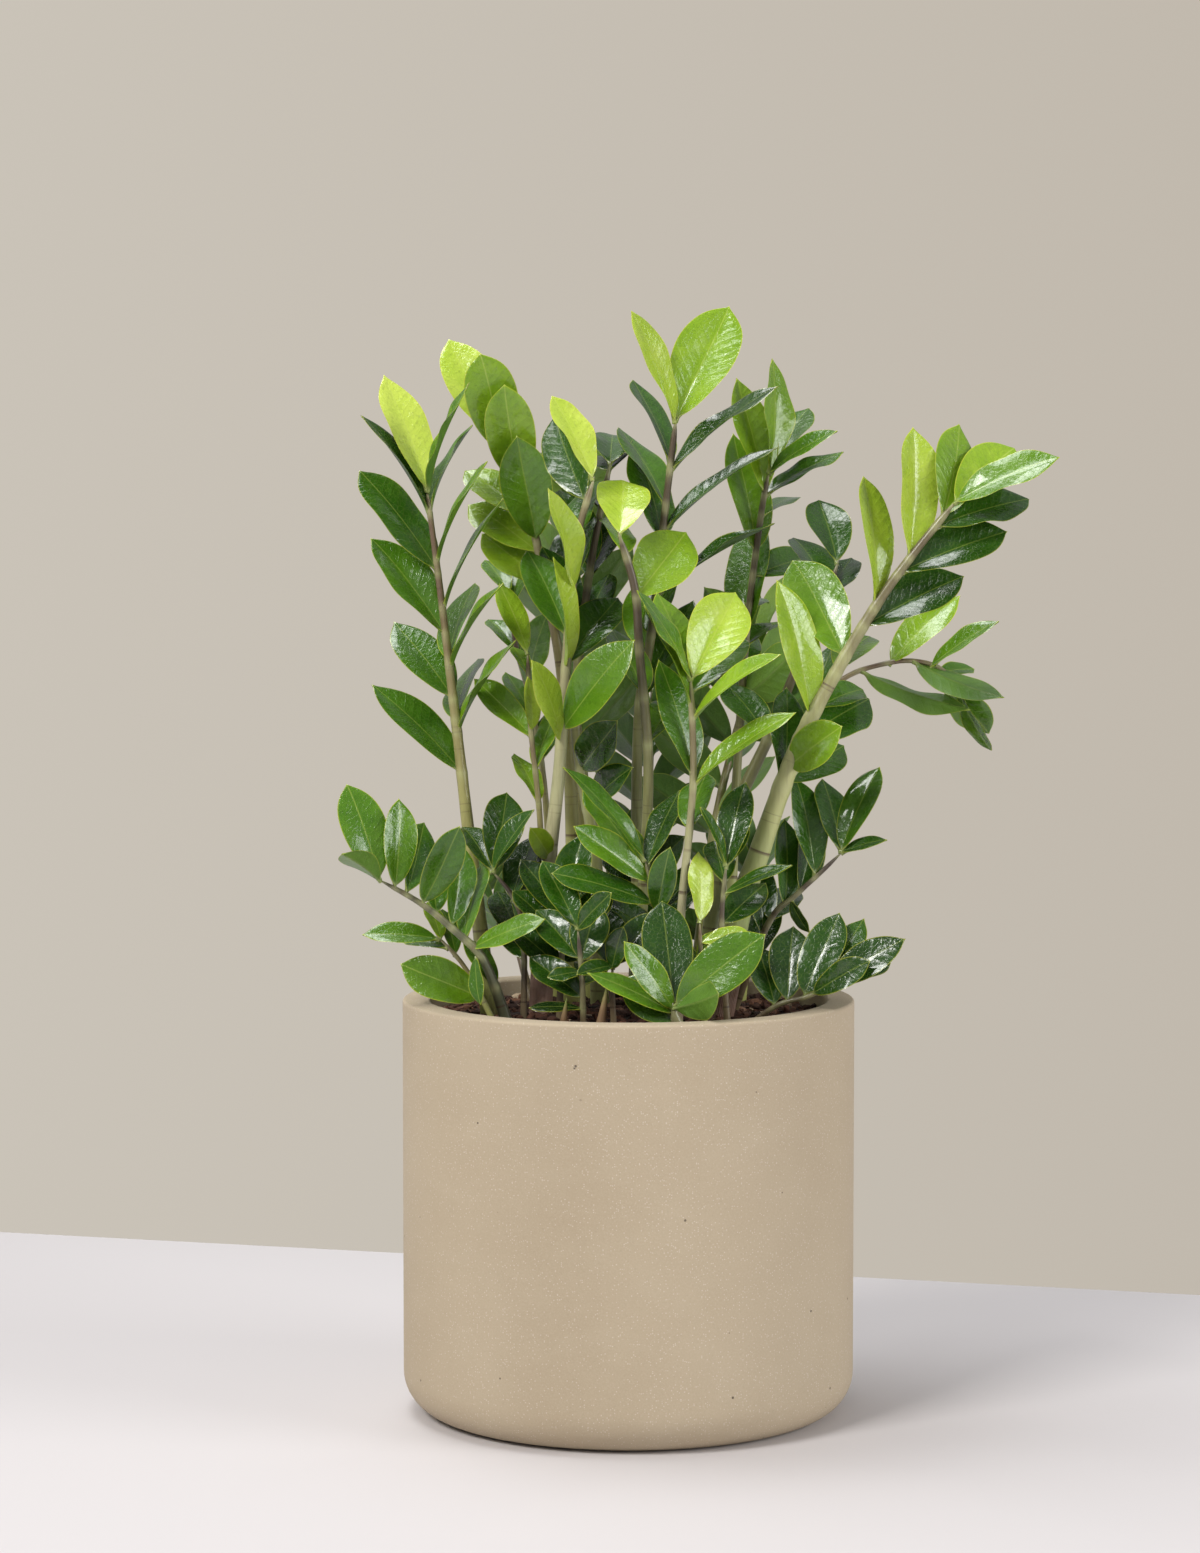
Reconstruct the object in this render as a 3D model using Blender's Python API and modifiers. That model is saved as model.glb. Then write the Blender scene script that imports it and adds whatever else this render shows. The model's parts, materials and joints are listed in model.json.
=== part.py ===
"""A ZZ plant (Zamioculcas zamiifolia) growing in a round cast-stone planter.

The origin is the centre of the planter's underside. +Z is up, -Y is the plant's front and +X is
to the right of a person who looks at the front. Sizes are in metres. The setting-out table of the
fronds, and the leaf rows in it, are in millimetres and degrees.

A frond is one compound leaf that grew in one piece: a fleshy stalk that carries two rows of
leaflets. Each frond is one closed solid that stands in a socket of the potting mix.
"""

import math
from collections import namedtuple

import bmesh
import bpy
from mathutils import Quaternion, Vector
from mathutils.bvhtree import BVHTree

MM = 0.001
GAP = 0.0003                     # clearance between pieces that would touch

# Planter
POT_DIAMETER = 0.305
POT_HEIGHT = 0.280
POT_WALL = 0.0185
POT_FLOOR = 0.022
POT_FOOT_ROUND = 0.028           # radius between the side and the underside
POT_LIP_ROUND = 0.002
POT_STEPS = 48
ARC_STEPS = 5
DRAIN_COUNT = 3
DRAIN_BORE = 0.014
DRAIN_CIRCLE = 0.140             # diameter of the circle that the drain holes stand on

# Potting mix
SOIL_BELOW_RIM = 0.013
SOIL_CROWN = 0.004               # how much higher the middle is than the edge
SOIL_RINGS = 2

# Plant
SET_OUT_RADIUS = 0.134           # inner radius of the planter that the routes are set out for
SET_OUT_LEVEL = 0.267            # height of the soil that the routes are set out for
STALK_STRETCH = 1.0              # height of the fronds over their set-out height
LEAF_SIZE = 1.0                  # size of the leaflets over their set-out size
STALK_BURIED = 0.055
STALK_RING_PITCH = 0.036
THIN_STALK = 0.0035              # below this radius a stalk is modelled with fewer sides
STALK_SWAYS = (0.0, 4.0, -4.0, 8.0, -8.0, 12.0, -12.0, 18.0, -18.0)
TAPER_POWER = 1.25

# Leaflet
LEAF_THICK = 0.0012
NECK_THICK = 0.0016
NECK_HALF_WIDTH = 0.0013
NECK_SHARE = 0.05
NECK_FADE = 8
SHOULDER_POWER = 0.65            # how full the leaflet is toward its base
POINT_POWER = 0.72               # how full it is toward its tip
FOLD = math.radians(15)
BOW = 0.045                      # height of the leaflet's arch over its length
BALL_SIDES = 4
BALL_RINGS = 6
TEST_RINGS = 14
JOINT_SHARE = 0.24               # share of a leaflet near its joint that may touch its own frond
LEAF_CLEARANCE = 0.0004
TIP_SETBACK = 0.003              # how far below the stalk's end the last leaflets start
TIP_SPREAD = 0.020               # spreads the last joints, so that no two start at one point

# Search for a free place, in degrees from where the table points a leaflet
SEARCH_SIZES = (1.0, 0.85, 0.7, 0.55, 0.4)
SEARCH_RINGS = (7, 14, 21, 30, 40)
SEARCH_DIRECTIONS = 8

# Sheaths and shoots
SHEATH_WALL = 0.0013
SHEATH_SUNK = 0.010
SHEATH_OVERRUN = 0.006
SHOOT_SUNK = 0.022
SHOOT_RINGS = 5

STONE = ("cast_stone", (0.530, 0.435, 0.314), 0.85)
SOIL = ("bark_and_coir", (0.085, 0.042, 0.024), 0.95)
LEAF_DARK = ("leaf_dark", (0.050, 0.150, 0.020), 0.35)
LEAF_MID = ("leaf_mid", (0.100, 0.240, 0.025), 0.35)
LEAF_NEW = ("leaf_new", (0.230, 0.420, 0.035), 0.35)
PAPER_SHEATH = ("dry_sheath", (0.330, 0.190, 0.120), 0.75)
SHOOT_SKIN = ("shoot_skin", (0.260, 0.150, 0.095), 0.6)

Leaf = namedtuple("Leaf", "at swing out length width turn")
Frond = namedtuple("Frond", "name skin thick thin route leaves facing sheath", defaults=(0, 0))
Shoot = namedtuple("Shoot", "name radius foot tip")


def paired_leaves(pairs, lowest, length, width, splay, lean):
    """Rows for a regular frond: pairs of leaflets up to a last one at the stalk's end."""
    rows = [(1.0, 4, -lean, 0.92 * length, 0.9 * width, 10)]
    for pair in range(pairs):
        share = pair / max(1, pairs - 1)
        at = 0.97 - (0.97 - lowest) * share
        size = 0.86 + 0.14 * math.sin(math.pi * (0.25 + 0.6 * share))
        tilt = splay * (0.62 + 0.38 * share)
        for side in (-1, 1):
            stagger = 0.0 if side < 0 else -0.035
            rows.append((at + stagger, side * tilt, -lean + 10 * side, size * length, width, -40 * side))
    return tuple(rows)


# Each leaflet row holds: the share of the stalk's length where it joins; its swing from upright in
# the frond's plane, + to the right; its lean out of that plane, + toward the front; its length and
# width; and the turn of its upper face away from the front, + to the right.
FRONDS = (
    Frond("frond_front_centre", LEAF_NEW, 3.4, 2.0,
          ((32, -60, 267), (34, -64, 341), (40, -68, 403), (42, -71, 440), (40, -75, 500)),
          ((1.00, 28, -30, 75, 46, -5), (1.00, -31, 15, 72, 24, 66), (0.97, -20, -28, 74, 32, 50),
           (0.91, -25, 8, 76, 26, 62), (0.71, -16, -12, 83, 34, 42), (0.88, 53, 20, 76, 26, -70),
           (0.69, 54, 8, 84, 28, -62), (0.95, 44, -48, 76, 36, -30), (0.56, 20, -50, 60, 28, -40))),
    Frond("frond_rim_front", LEAF_MID, 4.2, 2.4,
          ((36, -98, 267), (30, -101, 278), (28, -104, 289)),
          ((0.98, -6, -25, 74, 35, 8), (1.00, 51, 5, 77, 35, -15), (0.86, -35, 10, 58, 22, 30),
           (0.72, -64, 5, 64, 20, 50), (0.92, 62, 45, 52, 26, 150), (0.45, -52, -12, 46, 30, 10))),
    Frond("frond_spoon", LEAF_NEW, 4.6, 2.6,
          ((3, 13, 267), (11, 1, 369), (13, -11, 443), (7, -22, 516), (4, -29, 556), (-7, -35, 594)),
          ((1.00, -2, -52, 70, 41, 5), (0.86, 31, -38, 72, 45, -8), (0.95, -25, -60, 58, 26, 45),
           (0.76, 17, -50, 66, 30, -50), (0.66, -26, -48, 68, 32, 45), (0.56, 30, -50, 62, 30, -45))),
    Frond("frond_right_thick", LEAF_NEW, 10.0, 2.2,
          ((58, -30, 267), (74, -33, 343), (87, -34, 381), (111, -37, 450), (136, -39, 499),
           (163, -41, 545), (188, -43, 580), (216, -45, 615)),
          ((1.00, 66, 12, 76, 34, -50), (0.99, 50, -40, 78, 38, -20), (0.96, 13, -32, 77, 38, 30),
           (0.87, 2, -8, 89, 40, 32), (0.77, -5, -5, 88, 36, 50), (0.67, -27, -28, 82, 43, 12),
           (0.55, -14, 5, 96, 38, 40), (0.94, 74, -25, 76, 34, -40), (0.84, 69, -10, 80, 38, -35),
           (0.73, 64, -15, 80, 40, -30), (0.64, 49, -58, 66, 34, -40), (0.57, 72, -50, 56, 28, -45),
           (0.42, 4, -25, 74, 38, 35), (0.46, 49, 35, 54, 32, -30), (0.51, 62, -40, 72, 40, -25),
           (0.43, 62, -35, 66, 36, -30)), 0, 34),
    Frond("frond_top_centre", LEAF_NEW, 5.0, 2.2,
          ((8, 35, 267), (6, 29, 370), (7, 23, 470), (15, 20, 521), (24, 14, 602), (32, 10, 671)),
          ((1.00, 25, -15, 90, 52, -12), (0.99, -22, 15, 83, 30, 55), (0.92, -23, -35, 79, 32, 60),
           (0.91, 52, 5, 93, 27, -66), (0.81, 54, -5, 97, 27, -72), (0.70, 58, 10, 96, 24, -80),
           (0.79, -14, -30, 80, 37, 42), (0.63, 22, -45, 74, 36, -45),
           (0.52, 28, -20, 84, 36, -48), (0.85, -30, -35, 78, 36, 60))),
    Frond("frond_left_tall", LEAF_MID, 6.0, 1.8,
          ((-93, -9, 267), (-108, -3, 395), (-118, 2, 481), (-126, 6, 548), (-136, 10, 624)),
          ((1.00, -21, -18, 90, 35, 35), (0.99, 22, 20, 84, 24, -84), (0.84, -38, -8, 88, 37, 42),
           (0.86, 28, 25, 84, 24, -84), (0.72, -38, -10, 85, 38, 36), (0.77, 29, 10, 87, 24, -84),
           (0.60, -39, -30, 77, 37, 36), (0.66, 33, 28, 78, 24, -84), (0.46, -46, -12, 88, 37, 50),
           (0.54, 33, 15, 77, 26, -80), (0.95, -35, 10, 81, 27, 72), (0.96, 26, -30, 74, 28, -76),
           (0.67, 17, -50, 76, 36, -55), (0.56, 19, -55, 74, 35, -60))),
    Frond("frond_centre_left", LEAF_NEW, 6.4, 2.2,
          ((-59, -25, 267), (-55, -23, 355), (-47, -21, 429), (-43, -19, 489), (-35, -16, 584),
           (-23, -15, 631)),
          ((1.00, -26, -15, 66, 30, 40), (0.64, -11, 12, 81, 30, 66), (0.51, -19, 28, 68, 25, 50),
           (0.53, 38, 26, 84, 37, -30), (0.78, -19, 30, 84, 34, 60), (0.95, -20, -30, 80, 36, -20),
           (0.65, 38, -35, 77, 37, -30), (0.70, -26, -35, 80, 38, 30), (0.87, 16, -45, 74, 34, -50),
           (0.76, 25, -45, 76, 34, -65), (0.30, -30, 45, 36, 18, 20)), 0, 58),
    Frond("frond_low_left", LEAF_MID, 4.0, 1.5,
          ((-80, -55, 267), (-88, -57, 292), (-98, -60, 315), (-112, -62, 329), (-137, -66, 350),
           (-166, -70, 367)),
          ((1.00, -20, -10, 68, 33, 22), (1.00, -48, 50, 48, 24, 150), (0.90, 2, -12, 60, 27, 30),
           (0.75, 26, 15, 61, 27, 25), (0.84, 13, -35, 62, 28, 25), (0.57, 6, -20, 58, 27, 35),
           (0.47, 13, -30, 60, 26, -45), (0.42, 66, 15, 56, 24, -55), (0.66, -12, -42, 56, 27, 30),
           (0.38, 173, 25, 34, 14, 40), (0.20, -34, -35, 46, 20, 45))),
    Frond("frond_low_centre", LEAF_MID, 3.0, 1.9,
          ((25, -44, 267), (22, -49, 310), (17, -55, 351), (10, -60, 380)),
          ((1.00, -41, 5, 84, 26, 62), (0.84, -52, 16, 67, 26, 35), (0.86, -38, -30, 84, 28, 42),
           (0.71, -71, 20, 77, 27, 50), (0.93, 24, -20, 62, 26, -45), (0.66, 11, 15, 48, 22, -10),
           (0.66, 50, -25, 54, 26, -45), (0.50, -60, -35, 58, 26, 40))),
    Frond("frond_low_right", LEAF_DARK, 3.2, 1.4,
          ((69, -4, 267), (94, -14, 332), (112, -18, 351), (131, -22, 369), (144, -25, 382)),
          ((1.00, 25, -10, 64, 28, -40), (0.99, 2, -20, 60, 27, 30), (0.81, -11, -12, 70, 30, 25),
           (0.60, 1, -15, 61, 27, 38), (1.00, 73, 15, 33, 14, -55), (0.70, 4, -45, 54, 27, 25),
           (0.65, 150, 20, 26, 12, 40), (0.42, -6, -22, 60, 28, 35), (0.50, 34, -52, 58, 29, -35),
           (0.28, 24, -38, 54, 27, -30))),
    Frond("frond_rim_right", LEAF_DARK, 1.8, 1.3,
          ((77, -55, 267), (99, -64, 283), (118, -69, 289), (139, -75, 301)),
          ((0.84, 58, 5, 62, 26, -30), (0.80, 34, -20, 60, 25, -30), (0.62, 24, -15, 62, 30, -22),
           (0.70, 57, 22, 48, 21, -25), (0.46, 6, -25, 54, 32, -10), (0.34, -16, -30, 46, 28, 20),
           (1.00, 74, -12, 40, 18, -40))),
    Frond("frond_back_right", LEAF_MID, 4.2, 2.0,
          ((62, 50, 267), (71, 56, 341), (74, 57, 410), (81, 58, 520), (91, 60, 603), (97, 60, 637)),
          ((1.00, 2, -10, 81, 34, 48), (0.95, -13, -12, 86, 36, 30), (0.84, -10, -10, 90, 37, 32),
           (0.99, 33, -42, 76, 36, -38), (1.00, 58, 30, 62, 24, -62), (0.95, 61, -20, 68, 24, -62),
           (0.91, 48, -45, 62, 22, -66), (0.69, 7, -10, 88, 38, -35), (0.80, 45, -45, 70, 32, -45),
           (0.67, 56, -55, 50, 22, -60), (0.57, 44, 45, 68, 36, 155), (0.50, 44, 40, 74, 36, 155),
           (0.63, -5, -60, 60, 32, 30), (0.74, -8, -62, 70, 34, 30), (0.58, -24, -50, 68, 34, 50))),
    Frond("frond_back_left_fan", LEAF_NEW, 6.0, 2.2,
          ((-39, 55, 267), (-38, 54, 368), (-41, 53, 447), (-47, 52, 507), (-55, 52, 548),
           (-66, 51, 602), (-81, 50, 643), (-92, 50, 662)),
          ((1.00, -26, -20, 80, 40, 15), (0.98, -2, -40, 84, 38, -60), (0.96, -13, 22, 74, 38, 5),
           (0.90, -8, 26, 76, 38, 0), (0.80, -3, 24, 80, 41, 5), (0.84, -54, -30, 66, 34, 40),
           (0.78, -56, -25, 66, 34, 35), (0.72, -50, -20, 62, 33, 35), (0.86, 24, -45, 76, 36, -50),
           (0.72, 34, -35, 70, 34, -50))),
    Frond("frond_low_left_inner", LEAF_DARK, 2.2, 1.5,
          ((-70, -42, 267), (-70, -42, 327), (-77, -43, 352), (-92, -45, 371)),
          ((1.00, -38, -45, 50, 26, 40), (1.00, 33, 10, 52, 24, -58), (0.97, 9, -25, 62, 33, 10),
           (0.76, 20, -40, 58, 28, -35), (0.58, 20, -25, 55, 26, -50), (0.46, -28, -48, 58, 29, 35),
           (0.38, 6, -55, 60, 30, -10))),
    Frond("frond_low_left_thin", LEAF_MID, 2.0, 1.3,
          ((-90, -32, 267), (-107, -31, 300), (-119, -33, 316), (-128, -35, 325)),
          ((1.00, -86, 5, 52, 22, 50), (0.25, -66, 5, 60, 32, 20), (0.96, -23, -45, 36, 16, 40),
           (0.74, -19, -40, 40, 18, 40), (0.84, -84, -35, 38, 16, 60))),
    Frond("frond_low_bright", LEAF_NEW, 1.8, 1.4,
          ((50, -74, 267), (48, -75, 300), (46, -77, 341)),
          ((1.00, -6, -15, 49, 22, 35), (0.78, 78, 10, 34, 16, -40), (0.55, 22, -20, 28, 17, -20),
           (0.50, -50, -30, 38, 21, 30))),
    Frond("frond_mid_right", LEAF_DARK, 2.2, 1.5,
          ((65, -70, 267), (61, -67, 335), (64, -64, 378)),
          ((1.00, 20, -30, 38, 21, -15), (0.99, -24, 10, 44, 14, 62), (0.95, 9, -25, 62, 27, -20),
           (0.80, 66, 10, 50, 15, -60), (0.86, -14, -45, 44, 24, 20), (0.62, 40, -45, 48, 25, -30))),
    Frond("frond_low_middle", LEAF_DARK, 2.4, 1.6,
          ((-46, -56, 267), (-45, -57, 305), (-42, -59, 342)),
          ((1.00, 12, -20, 60, 30, -20), (0.98, -24, -20, 52, 26, 30), (0.80, 42, 10, 46, 24, -35),
           (0.76, -46, 10, 48, 25, 40), (0.55, 56, -30, 52, 27, -30), (0.50, -60, -25, 44, 24, 40),
           (0.66, 4, -50, 58, 30, 0))),
    Frond("frond_low_dark", LEAF_DARK, 2.0, 1.5,
          ((-30, -75, 267), (-31, -77, 300), (-34, -80, 337)),
          ((1.00, -28, -15, 52, 26, 25), (1.00, 40, 30, 40, 18, -40), (0.67, -48, -25, 46, 28, 25),
           (0.30, -58, -20, 46, 26, 30), (0.55, -96, 20, 24, 13, 50), (0.20, -88, 25, 36, 12, 60),
           (0.64, 16, -30, 42, 28, -10), (0.42, 42, -50, 48, 26, -30))),
    Frond("frond_low_inner", LEAF_DARK, 2.0, 1.5,
          ((-10, -70, 267), (-11, -71, 290), (-11, -72, 312)),
          ((1.00, 41, -10, 48, 24, -20), (1.00, -97, 15, 34, 16, 50), (0.96, -10, -35, 48, 28, 10),
           (0.90, 14, 25, 32, 18, -30))),
    Frond("frond_right_inner", LEAF_DARK, 7.0, 2.2,
          ((49, 10, 267), (59, 11, 345), (72, 12, 404), (95, 13, 456), (116, 14, 508),
           (133, 15, 548), (142, 15, 575)),
          ((1.00, -13, -45, 64, 36, 20), (0.93, -30, -50, 66, 34, 45), (0.89, 34, -50, 66, 34, -40),
           (0.60, -37, -50, 62, 32, 40)), 0, 30),
    Frond("frond_right_arching", LEAF_NEW, 3.6, 1.4,
          ((78, 64, 267), (91, 58, 375), (112, 55, 438), (132, 53, 479), (152, 53, 496),
           (176, 52, 504), (196, 51, 506), (214, 51, 501), (229, 50, 486)),
          ((0.83, 47, -15, 72, 31, -38), (0.92, 54, 20, 60, 22, -60), (0.96, 140, -22, 54, 27, 20),
           (0.77, 109, 10, 80, 28, 125), (0.88, 116, 22, 72, 28, 130), (1.00, 166, -20, 50, 20, 60),
           (0.94, 85, -40, 36, 16, -50), (0.64, 20, -40, 66, 30, -45), (0.58, -30, -40, 66, 30, 45))),
    Frond("frond_centre_dark", LEAF_DARK, 6.2, 2.0,
          ((-19, 25, 267), (-23, 25, 377), (-31, 25, 426), (-36, 25, 469), (-33, 25, 514),
           (-25, 25, 575), (-12, 25, 642)),
          ((0.98, 26, -55, 70, 34, -40), (0.91, -32, -55, 72, 36, 45),
           (0.80, -21, -40, 78, 37, 40), (0.78, 26, -45, 76, 36, -45), (0.65, 21, -40, 76, 36, -45),
           (0.44, 34, 45, 62, 33, -20), (0.37, 45, 40, 56, 28, -45), (0.68, -24, -50, 72, 34, 45),
           (1.00, 5, -65, 72, 34, 0))),
    Frond("frond_left_thin", LEAF_NEW, 2.6, 1.6,
          ((-56, 2, 267), (-59, 0, 386), (-62, 0, 426), (-66, 0, 464), (-68, 0, 515)),
          ((1.00, -22, -10, 52, 21, 35), (0.78, -4, 20, 40, 16, 40), (0.76, -45, -15, 58, 24, 30),
           (0.93, -31, -50, 34, 14, 45), (0.67, 21, -30, 54, 22, -50), (0.58, -29, -45, 52, 22, 50))),
    Frond("frond_back_left_small", LEAF_MID, 3.0, 1.6,
          ((-50, 80, 267), (-57, 82, 408), (-68, 84, 478), (-77, 84, 513), (-83, 85, 554)),
          ((1.00, -37, -50, 46, 20, 40), (0.84, -43, -50, 52, 24, 45), (0.95, 15, -30, 58, 26, -35),
           (0.76, 16, 25, 62, 28, -40), (0.66, -30, -40, 58, 28, 45), (0.58, 24, -30, 58, 27, -40))),
    Frond("frond_back_tall", LEAF_MID, 4.6, 2.0,
          ((-26, 84, 267), (-33, 88, 430), (-36, 98, 520), (-42, 116, 606)),
          paired_leaves(5, 0.52, 76, 35, 40, -12), 168),
    Frond("frond_back_middle", LEAF_DARK, 4.4, 1.9,
          ((12, 96, 267), (14, 116, 370), (17, 146, 448), (20, 178, 492)),
          paired_leaves(5, 0.46, 70, 33, 50, -20), 185),
    Frond("frond_back_outer", LEAF_MID, 4.2, 1.9,
          ((46, 84, 267), (58, 96, 372), (76, 116, 452), (96, 150, 514)),
          paired_leaves(5, 0.48, 70, 33, 46, -16), 205),
    Frond("frond_low_back", LEAF_DARK, 2.6, 1.6,
          ((2, 62, 267), (4, 64, 310), (6, 68, 352)),
          ((1.00, 4, -20, 62, 30, 0), (0.95, -36, 25, 60, 29, 30), (0.90, 38, 25, 60, 29, -30),
           (0.70, -58, 30, 58, 28, 30), (0.66, 60, 30, 58, 28, -30), (0.50, -20, 45, 52, 26, 20),
           (0.46, 24, 45, 52, 26, -20), (0.80, -30, -45, 56, 27, 150), (0.76, 34, -45, 56, 27, -150))),
    Frond("frond_back_low_left", LEAF_DARK, 2.8, 1.5,
          ((-66, 66, 267), (-78, 84, 308), (-92, 112, 330), (-104, 142, 338)),
          paired_leaves(4, 0.40, 50, 24, 60, -10), 150),
    Frond("frond_back_low_right", LEAF_DARK, 2.8, 1.5,
          ((58, 104, 267), (70, 124, 318), (82, 146, 342), (92, 170, 352)),
          paired_leaves(4, 0.38, 52, 25, 60, -10), 205),
)

SHOOTS = (
    Shoot("new_shoot_front", 3.0, (-20, -96), (-14, -98, 302)),
    Shoot("new_shoot_left", 2.6, (-44, -84), (-41, -86, 290)),
    Shoot("new_shoot_back", 2.8, (24, 72), (26, 74, 298)),
)


def clear_scene():
    """Remove what the open file holds, so the planter is the only thing in it."""
    for item in list(bpy.data.objects):
        bpy.data.objects.remove(item, do_unlink=True)


def make_collection(name):
    """Make a collection under the scene's own."""
    collection = bpy.data.collections.new(name)
    bpy.context.scene.collection.children.link(collection)
    return collection


def material(skin):
    """Return the Principled material of a named skin, made once."""
    name, colour, roughness = skin
    if name in bpy.data.materials:
        return bpy.data.materials[name]
    made = bpy.data.materials.new(name)
    made.use_nodes = True
    shader = made.node_tree.nodes["Principled BSDF"]
    shader.inputs["Base Color"].default_value = (*colour, 1.0)
    shader.inputs["Roughness"].default_value = roughness
    shader.inputs["Metallic"].default_value = 0.0
    return made


def place(name, mesh, collection, skin=None):
    """Link a mesh as an object, as a node if it has a skin and as a cutter if it has none."""
    item = bpy.data.objects.new(name, mesh)
    collection.objects.link(item)
    if skin:
        mesh.materials.clear()
        mesh.materials.append(material(skin))
    else:
        item.hide_render = True
        item.display_type = 'WIRE'
    return item


def evaluated_mesh(item):
    """Return the mesh that an object's modifiers or curve settings make, in world space."""
    bpy.context.view_layer.update()
    graph = bpy.context.evaluated_depsgraph_get()
    mesh = bpy.data.meshes.new_from_object(item.evaluated_get(graph), depsgraph=graph)
    mesh.transform(item.matrix_world)
    return mesh


def arc(centre, radius, start, end, steps=ARC_STEPS):
    """Return points on an arc in the profile plane, as (radius, height) pairs."""
    points = []
    for step in range(steps + 1):
        angle = math.radians(start + (end - start) * step / steps)
        points.append((centre[0] + radius * math.cos(angle), centre[1] + radius * math.sin(angle)))
    return points


def turned_mesh(name, profile, steps, collection):
    """Turn a profile of (radius, height) pairs about the Z axis into a closed solid."""
    mesh = bpy.data.meshes.new(name)
    corners = [(radius, 0.0, height) for radius, height in profile]
    mesh.from_pydata(corners, [(i, i + 1) for i in range(len(corners) - 1)], [])
    item = place(name + "_profile", mesh, collection)
    screw = item.modifiers.new("Turn", 'SCREW')
    screw.steps = steps
    screw.render_steps = steps
    screw.use_merge_vertices = True
    screw.merge_threshold = 0.00001
    solid = evaluated_mesh(item)
    bpy.data.objects.remove(item, do_unlink=True)
    return solid


def tube_mesh(name, points, radii, collection):
    """Sweep a round section of changing radius along points, with both ends capped."""
    curve = bpy.data.curves.new(name, 'CURVE')
    curve.dimensions = '3D'
    curve.twist_mode = 'MINIMUM'
    curve.bevel_depth = MM
    curve.bevel_resolution = 2 if max(radii) > THIN_STALK else 1
    curve.use_fill_caps = True
    spline = curve.splines.new('POLY')
    spline.points.add(len(points) - 1)
    for knot, point, radius in zip(spline.points, points, radii):
        knot.co = (*point, 1.0)
        knot.radius = radius / MM
    item = place(name + "_route", curve, collection)
    mesh = evaluated_mesh(item)
    bpy.data.objects.remove(item, do_unlink=True)
    weld = bmesh.new()
    weld.from_mesh(mesh)
    bmesh.ops.remove_doubles(weld, verts=weld.verts, dist=0.00002)
    bmesh.ops.recalc_face_normals(weld, faces=weld.faces)
    weld.to_mesh(mesh)
    weld.free()
    return mesh


def combine(name, body, others, operation, collection):
    """Fuse other meshes with a body, or cut them out of it, and return the new mesh."""
    item = place(name + "_body", body, collection)
    tools = []
    for number, other in enumerate(others):
        tool = place(f"{name}_tool_{number}", other, collection)
        step = item.modifiers.new(f"Step_{number}", 'BOOLEAN')
        step.operation = operation
        step.solver = 'EXACT'
        step.object = tool
        tools.append(tool)
    result = evaluated_mesh(item)
    for used in [item] + tools:
        bpy.data.objects.remove(used, do_unlink=True)
    return result


def tree_of(mesh):
    """Return a search tree over a mesh's faces."""
    return BVHTree.FromPolygons([v.co.copy() for v in mesh.vertices],
                                [tuple(p.vertices) for p in mesh.polygons])


def ball(rings):
    """Return a unit ball's mesh; a leaflet is this ball, drawn out and flattened."""
    mesh = bpy.data.meshes.new("leaf_ball")
    shape = bmesh.new()
    bmesh.ops.create_uvsphere(shape, u_segments=BALL_SIDES, v_segments=rings, radius=1.0)
    shape.to_mesh(mesh)
    shape.free()
    return mesh


def ball_places(mesh):
    """Return each ball vertex as (share of the length, across, through)."""
    places = []
    for vertex in mesh.vertices:
        x, y, z = vertex.co
        ring = math.hypot(x, y)
        if ring < 1e-6:
            places.append(((1 + z) / 2, 0.0, 0.0))
        else:
            places.append(((1 + z) / 2, x / ring, y / ring))
    return places


def half_width(share, width):
    """Return half the leaflet's width at a share of its length."""
    blade = max(0.0, (share - NECK_SHARE) / (1 - NECK_SHARE))
    widest = SHOULDER_POWER / (SHOULDER_POWER + POINT_POWER)
    fullness = (blade / widest) ** SHOULDER_POWER * (max(0.0, 1 - blade) / (1 - widest)) ** POINT_POWER
    return 0.5 * width * fullness + NECK_HALF_WIDTH * (1 - share) ** NECK_FADE


def leaf_axes(leaf, facing):
    """Return the unit vectors along a leaflet, across it and out of its upper face."""
    swing, out = math.radians(leaf.swing), math.radians(leaf.out)
    along = Vector((math.sin(swing) * math.cos(out), -math.sin(out), math.cos(swing) * math.cos(out)))
    front = Vector((0.0, -1.0, 0.0))
    upper = (front - front.dot(along) * along).normalized()
    upper.rotate(Quaternion(along, math.radians(leaf.turn)))
    around = Quaternion((0.0, 0.0, 1.0), math.radians(facing))
    along.rotate(around)
    upper.rotate(around)
    return along, upper.cross(along), upper


def leaf_points(base, leaf, facing, places, start=0.0, grow=0.0):
    """Return the leaflet's points for ball places, from a share of its length to its tip."""
    along, across, upper = leaf_axes(leaf, facing)
    length, width = leaf.length * MM, leaf.width * MM
    points = []
    for share, side, through in places:
        s = start + (1 - start) * share
        half = half_width(s, width) + grow * min(1.0, 8 * (1 - share))
        thick = LEAF_THICK + NECK_THICK * (1 - s) ** NECK_FADE + 2 * grow
        lift = 4 * BOW * length * s * (1 - s) + abs(side) * half * math.sin(FOLD) + 0.5 * thick * through
        points.append(base + along * length * s + across * side * half * math.cos(FOLD) + upper * lift)
    return points


def spline_point(before, start, end, after, share):
    """Return a point on the smooth curve between two of four following points."""
    return 0.5 * (2 * start + (end - before) * share
                  + (2 * before - 5 * start + 4 * end - after) * share ** 2
                  + (3 * start - before - 3 * end + after) * share ** 3)


def smooth_route(knots, steps=8):
    """Return a finely stepped smooth route through knots."""
    ends = [2 * knots[0] - knots[1]] + knots + [2 * knots[-1] - knots[-2]]
    route = []
    for i in range(len(knots) - 1):
        route.extend(spline_point(*ends[i:i + 4], step / steps) for step in range(steps))
    return route + [knots[-1]]


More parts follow.
